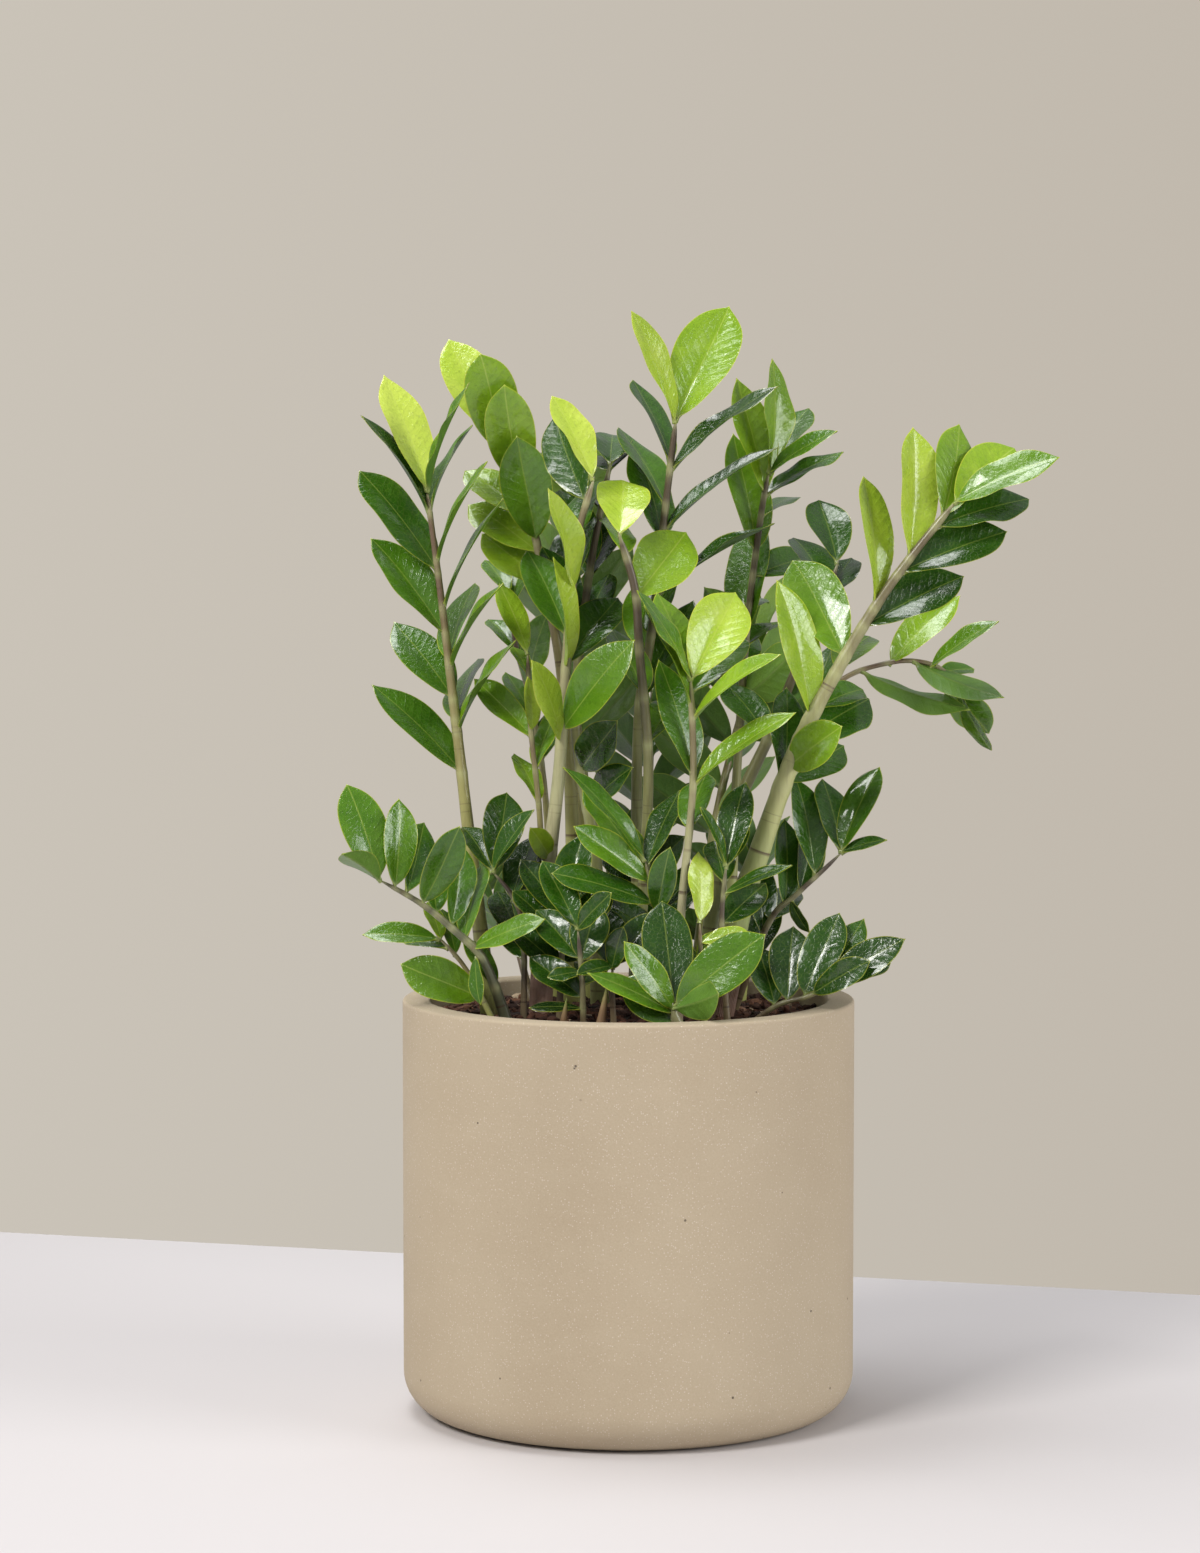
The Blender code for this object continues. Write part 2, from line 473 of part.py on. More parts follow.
def lengths_along(points):
    """Return each point's distance from the first along the route."""
    sums = [0.0]
    for start, end in zip(points, points[1:]):
        sums.append(sums[-1] + (end - start).length)
    return sums


def point_along(points, distance):
    """Return the point at a distance along a route."""
    sums = lengths_along(points)
    for i in range(len(points) - 1):
        if distance <= sums[i + 1]:
            share = (distance - sums[i]) / (sums[i + 1] - sums[i])
            return points[i].lerp(points[i + 1], share)
    return points[-1].copy()


class Stalk:
    """The route and thickness of one frond's stalk, from the soil line up."""

    def __init__(self, frond, sway):
        foot = Vector((frond.route[0][0], frond.route[0][1], 0.0)) * MM
        shift = foot * (soil_radius() / SET_OUT_RADIUS - 1)
        knots = []
        for x, y, z in frond.route:
            height = (z * MM - SET_OUT_LEVEL) * STALK_STRETCH
            swayed = sway * MM * min(1.0, height / 0.1)
            knots.append(Vector((x * MM, y * MM + swayed, height + soil_level())) + shift)
        fine = smooth_route(knots)
        self.length = lengths_along(fine)[-1]
        count = max(3, round(self.length / STALK_RING_PITCH))
        self.rings = [point_along(fine, self.length * i / count) for i in range(count + 1)]
        self.length = lengths_along(self.rings)[-1]
        self.thick, self.thin = frond.thick * MM, frond.thin * MM
        self.foot = self.rings[0] - Vector((0.0, 0.0, STALK_BURIED))

    def radius(self, distance):
        """Return the stalk's radius at a distance above the soil line."""
        left = 1 - max(0.0, min(1.0, distance / self.length))
        return self.thin + (self.thick - self.thin) * left ** TAPER_POWER

    def joint(self, share):
        """Return the point on the stalk's axis where a leaflet starts."""
        furthest = self.length - TIP_SETBACK - TIP_SPREAD * (1 - share)
        return point_along(self.rings, min(share * self.length, furthest))

    def mesh(self, name, collection, grow=0.0):
        """Return the whole stalk as a closed tube, grown on every side if asked."""
        points = [self.foot - Vector((0.0, 0.0, grow))] + self.rings
        radii = [self.radius(0) + grow]
        radii += [self.radius(distance) + grow for distance in lengths_along(self.rings)]
        return tube_mesh(name, points, radii, collection)

    def sleeve(self, name, sunk, height, grow, collection):
        """Return a tube around the stalk's lower part, grown over the stalk's own radius."""
        sums = lengths_along(self.rings)
        distances = [0.0] + [d for d in sums[1:] if d < height - 0.004] + [height]
        points = [self.rings[0] - Vector((0.0, 0.0, sunk))]
        points += [point_along(self.rings, distance) for distance in distances]
        radii = [self.radius(0) + grow] + [self.radius(distance) + grow for distance in distances]
        return tube_mesh(name, points, radii, collection)


def soil_level():
    """Return the height of the potting mix at the planter's wall."""
    return POT_HEIGHT - SOIL_BELOW_RIM


def soil_radius():
    """Return the inner radius of the planter."""
    return POT_DIAMETER / 2 - POT_WALL


def make_pot(nodes, helpers):
    """The planter: a straight round tub with a thick lip, a rounded foot and drain holes."""
    outer, inner = POT_DIAMETER / 2, soil_radius()
    lip = POT_LIP_ROUND
    profile = [(0.0, POT_FLOOR), (inner, POT_FLOOR)]
    profile += arc((inner + lip, POT_HEIGHT - lip), lip, 180, 90, 2)
    profile += arc((outer - lip, POT_HEIGHT - lip), lip, 90, 0, 2)
    profile += arc((outer - POT_FOOT_ROUND, POT_FOOT_ROUND), POT_FOOT_ROUND, 0, -90)
    profile += [(0.0, 0.0)]
    body = turned_mesh("pot", profile, POT_STEPS, helpers)
    drains = []
    for number in range(DRAIN_COUNT):
        angle = 2 * math.pi * (number + 0.25) / DRAIN_COUNT
        bpy.ops.mesh.primitive_cylinder_add(vertices=16, radius=DRAIN_BORE / 2, depth=3 * POT_FLOOR)
        drill = bpy.context.active_object
        drill.location = (DRAIN_CIRCLE / 2 * math.cos(angle), DRAIN_CIRCLE / 2 * math.sin(angle),
                          POT_FLOOR / 2)
        drains.append(evaluated_mesh(drill))
        bpy.data.objects.remove(drill, do_unlink=True)
    return place("pot", combine("pot", body, drains, 'DIFFERENCE', helpers), nodes, STONE)


def make_soil(sockets, nodes, helpers):
    """The potting mix: it fills the planter and has a blind socket for each stalk and shoot."""
    radius = soil_radius() - GAP
    profile = []
    for ring in range(SOIL_RINGS + 1):
        share = ring / SOIL_RINGS
        profile.append((radius * share, soil_level() + SOIL_CROWN * (1 - share ** 2)))
    profile += [(radius, POT_FLOOR + GAP), (0.0, POT_FLOOR + GAP)]
    body = turned_mesh("potting_mix", profile, POT_STEPS, helpers)
    return place("potting_mix", combine("potting_mix", body, sockets, 'DIFFERENCE', helpers), nodes, SOIL)


def shoot_mesh(shoot, grow, helpers):
    """A new frond still rolled up: a short spike from a sunk foot to a point."""
    x, y = shoot.foot
    shift = Vector((x, y, 0.0)) * MM * (soil_radius() / SET_OUT_RADIUS - 1)
    foot = Vector((x * MM, y * MM, soil_level())) + shift
    tip = Vector((shoot.tip[0], shoot.tip[1], 0.0)) * MM + shift
    tip.z = soil_level() + (shoot.tip[2] * MM - SET_OUT_LEVEL) * STALK_STRETCH
    points, radii = [foot - Vector((0.0, 0.0, SHOOT_SUNK + grow))], [shoot.radius * MM + grow]
    for ring in range(SHOOT_RINGS + 1):
        share = ring / SHOOT_RINGS
        points.append(foot.lerp(tip, share))
        radii.append(shoot.radius * MM * (1.06 - share ** 1.6) + grow)
    return tube_mesh(shoot.name, points, radii, helpers)


class Garden:
    """What stands where, and whether a new piece would touch it."""

    def __init__(self):
        self.things = []

    def add(self, owner, tree, centre, reach):
        """Note a piece that stands, by its frond's name."""
        self.things.append((owner, tree, centre, reach))

    def is_free(self, tree, centre, reach, skipped=None):
        """Say whether a tree clears every piece except those of one owner."""
        for owner, other, other_centre, other_reach in self.things:
            if owner == skipped or (centre - other_centre).length > reach + other_reach:
                continue
            if tree.overlap(other):
                return False
        return True


def mesh_reach(points):
    """Return the middle of some points and how far they reach from it."""
    low = Vector(min(p[i] for p in points) for i in range(3))
    high = Vector(max(p[i] for p in points) for i in range(3))
    return (low + high) / 2, (high - low).length / 2


def stand(garden, owner, mesh):
    """Add a whole mesh to the garden."""
    points = [v.co.copy() for v in mesh.vertices]
    garden.add(owner, tree_of(mesh), *mesh_reach(points))


def poses(leaf):
    """Yield a leaflet as its row has it, and then ever further from that."""
    for size in SEARCH_SIZES:
        length, width = leaf.length * size * LEAF_SIZE, leaf.width * size * LEAF_SIZE
        yield leaf._replace(length=length, width=width)
        for ring in SEARCH_RINGS:
            for step in range(SEARCH_DIRECTIONS):
                angle = 2 * math.pi * step / SEARCH_DIRECTIONS
                yield leaf._replace(swing=leaf.swing + ring * math.sin(angle),
                                    out=leaf.out - ring * math.cos(angle), length=length, width=width)


class LeafShapes:
    """The ball that leaflets are made from, and a finer one that free places are tested with."""

    def __init__(self):
        self.plain = ball(BALL_RINGS)
        self.plain_places = ball_places(self.plain)
        self.fine = ball(TEST_RINGS)
        self.fine_places = ball_places(self.fine)
        self.plain_faces = [tuple(p.vertices) for p in self.plain.polygons]
        self.fine_faces = [tuple(p.vertices) for p in self.fine.polygons]

    def trees(self, base, leaf, facing, start=0.0, grow=0.0):
        """Return the search trees of both shapes of a leaflet, with their middle and reach."""
        plain = leaf_points(base, leaf, facing, self.plain_places, start, grow)
        fine = leaf_points(base, leaf, facing, self.fine_places, start, grow)
        middle, reach = mesh_reach(plain)
        return (BVHTree.FromPolygons(plain, self.plain_faces),
                BVHTree.FromPolygons(fine, self.fine_faces), middle, reach)


def find_pose(shapes, garden, own, frond, stalk, leaf):
    """Return the first pose of a leaflet that touches nothing, or None."""
    base = stalk.joint(leaf.at)
    for pose in poses(leaf):
        plain, fine, middle, reach = shapes.trees(base, pose, frond.facing, grow=LEAF_CLEARANCE)
        if not garden.is_free(plain, middle, reach, frond.name):
            continue
        if not garden.is_free(fine, middle, reach, frond.name):
            continue
        outer, outer_fine, middle, reach = shapes.trees(base, pose, frond.facing, JOINT_SHARE)
        if own.is_free(outer, middle, reach) and own.is_free(outer_fine, middle, reach):
            return pose
    return None


def leaf_mesh(shapes, base, leaf, facing):
    """Return a leaflet as a closed mesh: the ball, drawn out along the leaflet."""
    mesh = shapes.plain.copy()
    for vertex, point in zip(mesh.vertices, leaf_points(base, leaf, facing, shapes.plain_places)):
        vertex.co = point
    return mesh


def find_stalks(garden, helpers):
    """Set out every stalk, each swayed only if it would touch one that stands already."""
    stalks = {}
    for frond in FRONDS:
        for sway in STALK_SWAYS:
            stalk = Stalk(frond, sway)
            tube = stalk.mesh(frond.name, helpers, 2 * GAP)
            if garden.is_free(tree_of(tube), *mesh_reach([v.co for v in tube.vertices])):
                break
        stalks[frond.name] = stalk
        stand(garden, frond.name, stalk.mesh(frond.name, helpers))
    return stalks


def make_sheath(frond, stalk, nodes, helpers):
    """A dry brown sheath around the foot of a thick stalk."""
    height = frond.sheath * MM
    outer = stalk.sleeve(frond.name, SHEATH_SUNK, height, GAP + SHEATH_WALL, helpers)
    hollow = stalk.sleeve(frond.name, SHEATH_SUNK + SHEATH_OVERRUN, height + SHEATH_OVERRUN, GAP, helpers)
    name = frond.name.replace("frond", "sheath")
    return place(name, combine(name, outer, [hollow], 'DIFFERENCE', helpers), nodes, PAPER_SHEATH)


def make_frond(frond, stalk, shapes, garden, nodes, helpers):
    """One frond: the stalk and its leaflets, fused into one solid."""
    own = Garden()
    stand(own, frond.name, stalk.mesh(frond.name, helpers))
    leaflets = []
    for row in frond.leaves:
        leaf = find_pose(shapes, garden, own, frond, stalk, Leaf(*row))
        if leaf is None:
            continue
        base = stalk.joint(leaf.at)
        leaflets.append(leaf_mesh(shapes, base, leaf, frond.facing))
        plain, fine, middle, reach = shapes.trees(base, leaf, frond.facing)
        garden.add(frond.name, plain, middle, reach)
        garden.add(frond.name, fine, middle, reach)
        outer, outer_fine, middle, reach = shapes.trees(base, leaf, frond.facing, JOINT_SHARE)
        own.add(frond.name, outer, middle, reach)
        own.add(frond.name, outer_fine, middle, reach)
    body = combine(frond.name, stalk.mesh(frond.name, helpers), leaflets, 'UNION', helpers)
    return place(frond.name, body, nodes, frond.skin)


def main():
    clear_scene()
    nodes = make_collection("potted_zz_plant")
    helpers = make_collection("helpers")
    pot = make_pot(nodes, helpers)
    garden = Garden()
    stand(garden, "pot", pot.data)
    for shoot in SHOOTS:
        spike = place(shoot.name, shoot_mesh(shoot, 0.0, helpers), nodes, SHOOT_SKIN)
        stand(garden, shoot.name, spike.data)
    stalks = find_stalks(garden, helpers)
    sockets = [shoot_mesh(shoot, GAP, helpers) for shoot in SHOOTS]
    sockets += [stalks[frond.name].mesh(frond.name, helpers, GAP) for frond in FRONDS]
    for frond in FRONDS:
        if frond.sheath:
            sheath = make_sheath(frond, stalks[frond.name], nodes, helpers)
            stand(garden, sheath.name, sheath.data)
            sockets.append(stalks[frond.name].sleeve(sheath.name, SHEATH_SUNK + GAP, frond.sheath * MM,
                                                     2 * GAP + SHEATH_WALL, helpers))
    soil = make_soil(sockets, nodes, helpers)
    stand(garden, "potting_mix", soil.data)
    shapes = LeafShapes()
    for frond in FRONDS:
        make_frond(frond, stalks[frond.name], shapes, garden, nodes, helpers)
    bpy.data.collections.remove(helpers)


main()
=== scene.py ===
"""The looks of a ZZ plant in a cast-stone planter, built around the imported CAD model.

Every frond, the planter, the potting mix, the sheaths and the shoots get a finer mesh than their
CAD node, in the same place. The setting-out table is the CAD model's own; each leaflet stands in
the one of its possible poses that the CAD mesh shows. Lengths in the table are in millimetres.
"""

import json
import math
from collections import namedtuple

import bmesh
import bpy
import numpy as np
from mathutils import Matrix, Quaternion, Vector
from mathutils.kdtree import KDTree

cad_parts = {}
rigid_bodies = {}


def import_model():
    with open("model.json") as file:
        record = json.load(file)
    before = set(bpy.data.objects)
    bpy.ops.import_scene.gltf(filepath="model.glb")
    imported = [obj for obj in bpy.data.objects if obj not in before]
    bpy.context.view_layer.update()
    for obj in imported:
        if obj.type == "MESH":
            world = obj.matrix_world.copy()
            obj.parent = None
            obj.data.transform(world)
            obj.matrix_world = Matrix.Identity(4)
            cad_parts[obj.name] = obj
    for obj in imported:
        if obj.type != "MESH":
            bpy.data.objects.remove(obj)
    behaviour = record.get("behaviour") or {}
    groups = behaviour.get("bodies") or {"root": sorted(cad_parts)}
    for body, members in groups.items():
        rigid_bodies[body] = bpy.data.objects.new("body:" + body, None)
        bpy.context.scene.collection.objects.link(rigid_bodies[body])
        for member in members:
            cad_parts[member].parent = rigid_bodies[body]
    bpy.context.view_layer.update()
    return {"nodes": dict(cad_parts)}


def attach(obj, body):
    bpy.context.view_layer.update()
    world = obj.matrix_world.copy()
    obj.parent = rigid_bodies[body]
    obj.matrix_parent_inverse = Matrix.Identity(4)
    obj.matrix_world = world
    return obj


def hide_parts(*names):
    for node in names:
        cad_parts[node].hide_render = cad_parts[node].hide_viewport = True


MM = 0.001
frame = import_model()

Leaf = namedtuple("Leaf", "at swing out length width turn")
Frond = namedtuple("Frond", "name skin thick thin route leaves facing sheath", defaults=(0, 0))
Shoot = namedtuple("Shoot", "name radius foot tip")


def paired_leaves(pairs, lowest, length, width, splay, lean):
    """Rows for a regular frond: pairs of leaflets up to a last one at the stalk's end."""
    rows = [(1.0, 4, -lean, 0.92 * length, 0.9 * width, 10)]
    for pair in range(pairs):
        share = pair / max(1, pairs - 1)
        at = 0.97 - (0.97 - lowest) * share
        size = 0.86 + 0.14 * math.sin(math.pi * (0.25 + 0.6 * share))
        tilt = splay * (0.62 + 0.38 * share)
        for side in (-1, 1):
            stagger = 0.0 if side < 0 else -0.035
            rows.append((at + stagger, side * tilt, -lean + 10 * side, size * length, width, -40 * side))
    return tuple(rows)


# Each leaflet row holds: the share of the stalk's length where it joins; its swing from upright in
# the frond's plane, + to the right; its lean out of that plane, + toward the front; its length and
# width; and the turn of its upper face away from the front, + to the right.
FRONDS = (
    Frond("frond_front_centre", "leaf_new", 3.4, 2.0,
          ((32, -60, 267), (34, -64, 341), (40, -68, 403), (42, -71, 440), (40, -75, 500)),
          ((1.00, 28, -30, 75, 46, -5), (1.00, -31, 15, 72, 24, 66), (0.97, -20, -28, 74, 32, 50),
           (0.91, -25, 8, 76, 26, 62), (0.71, -16, -12, 83, 34, 42), (0.88, 53, 20, 76, 26, -70),
           (0.69, 54, 8, 84, 28, -62), (0.95, 44, -48, 76, 36, -30), (0.56, 20, -50, 60, 28, -40))),
    Frond("frond_rim_front", "leaf_mid", 4.2, 2.4,
          ((36, -98, 267), (30, -101, 278), (28, -104, 289)),
          ((0.98, -6, -25, 74, 35, 8), (1.00, 51, 5, 77, 35, -15), (0.86, -35, 10, 58, 22, 30),
           (0.72, -64, 5, 64, 20, 50), (0.92, 62, 45, 52, 26, 150), (0.45, -52, -12, 46, 30, 10))),
    Frond("frond_spoon", "leaf_new", 4.6, 2.6,
          ((3, 13, 267), (11, 1, 369), (13, -11, 443), (7, -22, 516), (4, -29, 556), (-7, -35, 594)),
          ((1.00, -2, -52, 70, 41, 5), (0.86, 31, -38, 72, 45, -8), (0.95, -25, -60, 58, 26, 45),
           (0.76, 17, -50, 66, 30, -50), (0.66, -26, -48, 68, 32, 45), (0.56, 30, -50, 62, 30, -45))),
    Frond("frond_right_thick", "leaf_new", 10.0, 2.2,
          ((58, -30, 267), (74, -33, 343), (87, -34, 381), (111, -37, 450), (136, -39, 499),
           (163, -41, 545), (188, -43, 580), (216, -45, 615)),
          ((1.00, 66, 12, 76, 34, -50), (0.99, 50, -40, 78, 38, -20), (0.96, 13, -32, 77, 38, 30),
           (0.87, 2, -8, 89, 40, 32), (0.77, -5, -5, 88, 36, 50), (0.67, -27, -28, 82, 43, 12),
           (0.55, -14, 5, 96, 38, 40), (0.94, 74, -25, 76, 34, -40), (0.84, 69, -10, 80, 38, -35),
           (0.73, 64, -15, 80, 40, -30), (0.64, 49, -58, 66, 34, -40), (0.57, 72, -50, 56, 28, -45),
           (0.42, 4, -25, 74, 38, 35), (0.46, 49, 35, 54, 32, -30), (0.51, 62, -40, 72, 40, -25),
           (0.43, 62, -35, 66, 36, -30)), 0, 34),
    Frond("frond_top_centre", "leaf_new", 5.0, 2.2,
          ((8, 35, 267), (6, 29, 370), (7, 23, 470), (15, 20, 521), (24, 14, 602), (32, 10, 671)),
          ((1.00, 25, -15, 90, 52, -12), (0.99, -22, 15, 83, 30, 55), (0.92, -23, -35, 79, 32, 60),
           (0.91, 52, 5, 93, 27, -66), (0.81, 54, -5, 97, 27, -72), (0.70, 58, 10, 96, 24, -80),
           (0.79, -14, -30, 80, 37, 42), (0.63, 22, -45, 74, 36, -45),
           (0.52, 28, -20, 84, 36, -48), (0.85, -30, -35, 78, 36, 60))),
    Frond("frond_left_tall", "leaf_mid", 6.0, 1.8,
          ((-93, -9, 267), (-108, -3, 395), (-118, 2, 481), (-126, 6, 548), (-136, 10, 624)),
          ((1.00, -21, -18, 90, 35, 35), (0.99, 22, 20, 84, 24, -84), (0.84, -38, -8, 88, 37, 42),
           (0.86, 28, 25, 84, 24, -84), (0.72, -38, -10, 85, 38, 36), (0.77, 29, 10, 87, 24, -84),
           (0.60, -39, -30, 77, 37, 36), (0.66, 33, 28, 78, 24, -84), (0.46, -46, -12, 88, 37, 50),
           (0.54, 33, 15, 77, 26, -80), (0.95, -35, 10, 81, 27, 72), (0.96, 26, -30, 74, 28, -76),
           (0.67, 17, -50, 76, 36, -55), (0.56, 19, -55, 74, 35, -60))),
    Frond("frond_centre_left", "leaf_new", 6.4, 2.2,
          ((-59, -25, 267), (-55, -23, 355), (-47, -21, 429), (-43, -19, 489), (-35, -16, 584),
           (-23, -15, 631)),
          ((1.00, -26, -15, 66, 30, 40), (0.64, -11, 12, 81, 30, 66), (0.51, -19, 28, 68, 25, 50),
           (0.53, 38, 26, 84, 37, -30), (0.78, -19, 30, 84, 34, 60), (0.95, -20, -30, 80, 36, -20),
           (0.65, 38, -35, 77, 37, -30), (0.70, -26, -35, 80, 38, 30), (0.87, 16, -45, 74, 34, -50),
           (0.76, 25, -45, 76, 34, -65), (0.30, -30, 45, 36, 18, 20)), 0, 58),
    Frond("frond_low_left", "leaf_mid", 4.0, 1.5,
          ((-80, -55, 267), (-88, -57, 292), (-98, -60, 315), (-112, -62, 329), (-137, -66, 350),
           (-166, -70, 367)),
          ((1.00, -20, -10, 68, 33, 22), (1.00, -48, 50, 48, 24, 150), (0.90, 2, -12, 60, 27, 30),
           (0.75, 26, 15, 61, 27, 25), (0.84, 13, -35, 62, 28, 25), (0.57, 6, -20, 58, 27, 35),
           (0.47, 13, -30, 60, 26, -45), (0.42, 66, 15, 56, 24, -55), (0.66, -12, -42, 56, 27, 30),
           (0.38, 173, 25, 34, 14, 40), (0.20, -34, -35, 46, 20, 45))),
    Frond("frond_low_centre", "leaf_mid", 3.0, 1.9,
          ((25, -44, 267), (22, -49, 310), (17, -55, 351), (10, -60, 380)),
          ((1.00, -41, 5, 84, 26, 62), (0.84, -52, 16, 67, 26, 35), (0.86, -38, -30, 84, 28, 42),
           (0.71, -71, 20, 77, 27, 50), (0.93, 24, -20, 62, 26, -45), (0.66, 11, 15, 48, 22, -10),
           (0.66, 50, -25, 54, 26, -45), (0.50, -60, -35, 58, 26, 40))),
    Frond("frond_low_right", "leaf_dark", 3.2, 1.4,
          ((69, -4, 267), (94, -14, 332), (112, -18, 351), (131, -22, 369), (144, -25, 382)),
          ((1.00, 25, -10, 64, 28, -40), (0.99, 2, -20, 60, 27, 30), (0.81, -11, -12, 70, 30, 25),
           (0.60, 1, -15, 61, 27, 38), (1.00, 73, 15, 33, 14, -55), (0.70, 4, -45, 54, 27, 25),
           (0.65, 150, 20, 26, 12, 40), (0.42, -6, -22, 60, 28, 35), (0.50, 34, -52, 58, 29, -35),
           (0.28, 24, -38, 54, 27, -30))),
    Frond("frond_rim_right", "leaf_dark", 1.8, 1.3,
          ((77, -55, 267), (99, -64, 283), (118, -69, 289), (139, -75, 301)),
          ((0.84, 58, 5, 62, 26, -30), (0.80, 34, -20, 60, 25, -30), (0.62, 24, -15, 62, 30, -22),
           (0.70, 57, 22, 48, 21, -25), (0.46, 6, -25, 54, 32, -10), (0.34, -16, -30, 46, 28, 20),
           (1.00, 74, -12, 40, 18, -40))),
    Frond("frond_back_right", "leaf_mid", 4.2, 2.0,
          ((62, 50, 267), (71, 56, 341), (74, 57, 410), (81, 58, 520), (91, 60, 603), (97, 60, 637)),
          ((1.00, 2, -10, 81, 34, 48), (0.95, -13, -12, 86, 36, 30), (0.84, -10, -10, 90, 37, 32),
           (0.99, 33, -42, 76, 36, -38), (1.00, 58, 30, 62, 24, -62), (0.95, 61, -20, 68, 24, -62),
           (0.91, 48, -45, 62, 22, -66), (0.69, 7, -10, 88, 38, -35), (0.80, 45, -45, 70, 32, -45),
           (0.67, 56, -55, 50, 22, -60), (0.57, 44, 45, 68, 36, 155), (0.50, 44, 40, 74, 36, 155),
           (0.63, -5, -60, 60, 32, 30), (0.74, -8, -62, 70, 34, 30), (0.58, -24, -50, 68, 34, 50))),
    Frond("frond_back_left_fan", "leaf_new", 6.0, 2.2,
          ((-39, 55, 267), (-38, 54, 368), (-41, 53, 447), (-47, 52, 507), (-55, 52, 548),
           (-66, 51, 602), (-81, 50, 643), (-92, 50, 662)),
          ((1.00, -26, -20, 80, 40, 15), (0.98, -2, -40, 84, 38, -60), (0.96, -13, 22, 74, 38, 5),
           (0.90, -8, 26, 76, 38, 0), (0.80, -3, 24, 80, 41, 5), (0.84, -54, -30, 66, 34, 40),
           (0.78, -56, -25, 66, 34, 35), (0.72, -50, -20, 62, 33, 35), (0.86, 24, -45, 76, 36, -50),
           (0.72, 34, -35, 70, 34, -50))),
    Frond("frond_low_left_inner", "leaf_dark", 2.2, 1.5,
          ((-70, -42, 267), (-70, -42, 327), (-77, -43, 352), (-92, -45, 371)),
          ((1.00, -38, -45, 50, 26, 40), (1.00, 33, 10, 52, 24, -58), (0.97, 9, -25, 62, 33, 10),
           (0.76, 20, -40, 58, 28, -35), (0.58, 20, -25, 55, 26, -50), (0.46, -28, -48, 58, 29, 35),
           (0.38, 6, -55, 60, 30, -10))),
    Frond("frond_low_left_thin", "leaf_mid", 2.0, 1.3,
          ((-90, -32, 267), (-107, -31, 300), (-119, -33, 316), (-128, -35, 325)),
          ((1.00, -86, 5, 52, 22, 50), (0.25, -66, 5, 60, 32, 20), (0.96, -23, -45, 36, 16, 40),
           (0.74, -19, -40, 40, 18, 40), (0.84, -84, -35, 38, 16, 60))),
    Frond("frond_low_bright", "leaf_new", 1.8, 1.4,
          ((50, -74, 267), (48, -75, 300), (46, -77, 341)),
          ((1.00, -6, -15, 49, 22, 35), (0.78, 78, 10, 34, 16, -40), (0.55, 22, -20, 28, 17, -20),
           (0.50, -50, -30, 38, 21, 30))),
    Frond("frond_mid_right", "leaf_dark", 2.2, 1.5,
          ((65, -70, 267), (61, -67, 335), (64, -64, 378)),
          ((1.00, 20, -30, 38, 21, -15), (0.99, -24, 10, 44, 14, 62), (0.95, 9, -25, 62, 27, -20),
           (0.80, 66, 10, 50, 15, -60), (0.86, -14, -45, 44, 24, 20), (0.62, 40, -45, 48, 25, -30))),
    Frond("frond_low_middle", "leaf_dark", 2.4, 1.6,
          ((-46, -56, 267), (-45, -57, 305), (-42, -59, 342)),
          ((1.00, 12, -20, 60, 30, -20), (0.98, -24, -20, 52, 26, 30), (0.80, 42, 10, 46, 24, -35),
           (0.76, -46, 10, 48, 25, 40), (0.55, 56, -30, 52, 27, -30), (0.50, -60, -25, 44, 24, 40),
           (0.66, 4, -50, 58, 30, 0))),
    Frond("frond_low_dark", "leaf_dark", 2.0, 1.5,
          ((-30, -75, 267), (-31, -77, 300), (-34, -80, 337)),
          ((1.00, -28, -15, 52, 26, 25), (1.00, 40, 30, 40, 18, -40), (0.67, -48, -25, 46, 28, 25),
           (0.30, -58, -20, 46, 26, 30), (0.55, -96, 20, 24, 13, 50), (0.20, -88, 25, 36, 12, 60),
           (0.64, 16, -30, 42, 28, -10), (0.42, 42, -50, 48, 26, -30))),
    Frond("frond_low_inner", "leaf_dark", 2.0, 1.5,
          ((-10, -70, 267), (-11, -71, 290), (-11, -72, 312)),
          ((1.00, 41, -10, 48, 24, -20), (1.00, -97, 15, 34, 16, 50), (0.96, -10, -35, 48, 28, 10),
           (0.90, 14, 25, 32, 18, -30))),
    Frond("frond_right_inner", "leaf_dark", 7.0, 2.2,
          ((49, 10, 267), (59, 11, 345), (72, 12, 404), (95, 13, 456), (116, 14, 508),
           (133, 15, 548), (142, 15, 575)),
          ((1.00, -13, -45, 64, 36, 20), (0.93, -30, -50, 66, 34, 45), (0.89, 34, -50, 66, 34, -40),
           (0.60, -37, -50, 62, 32, 40)), 0, 30),
    Frond("frond_right_arching", "leaf_new", 3.6, 1.4,
          ((78, 64, 267), (91, 58, 375), (112, 55, 438), (132, 53, 479), (152, 53, 496),
           (176, 52, 504), (196, 51, 506), (214, 51, 501), (229, 50, 486)),
          ((0.83, 47, -15, 72, 31, -38), (0.92, 54, 20, 60, 22, -60), (0.96, 140, -22, 54, 27, 20),
           (0.77, 109, 10, 80, 28, 125), (0.88, 116, 22, 72, 28, 130), (1.00, 166, -20, 50, 20, 60),
           (0.94, 85, -40, 36, 16, -50), (0.64, 20, -40, 66, 30, -45), (0.58, -30, -40, 66, 30, 45))),
    Frond("frond_centre_dark", "leaf_dark", 6.2, 2.0,
          ((-19, 25, 267), (-23, 25, 377), (-31, 25, 426), (-36, 25, 469), (-33, 25, 514),
           (-25, 25, 575), (-12, 25, 642)),
          ((0.98, 26, -55, 70, 34, -40), (0.91, -32, -55, 72, 36, 45),
           (0.80, -21, -40, 78, 37, 40), (0.78, 26, -45, 76, 36, -45), (0.65, 21, -40, 76, 36, -45),
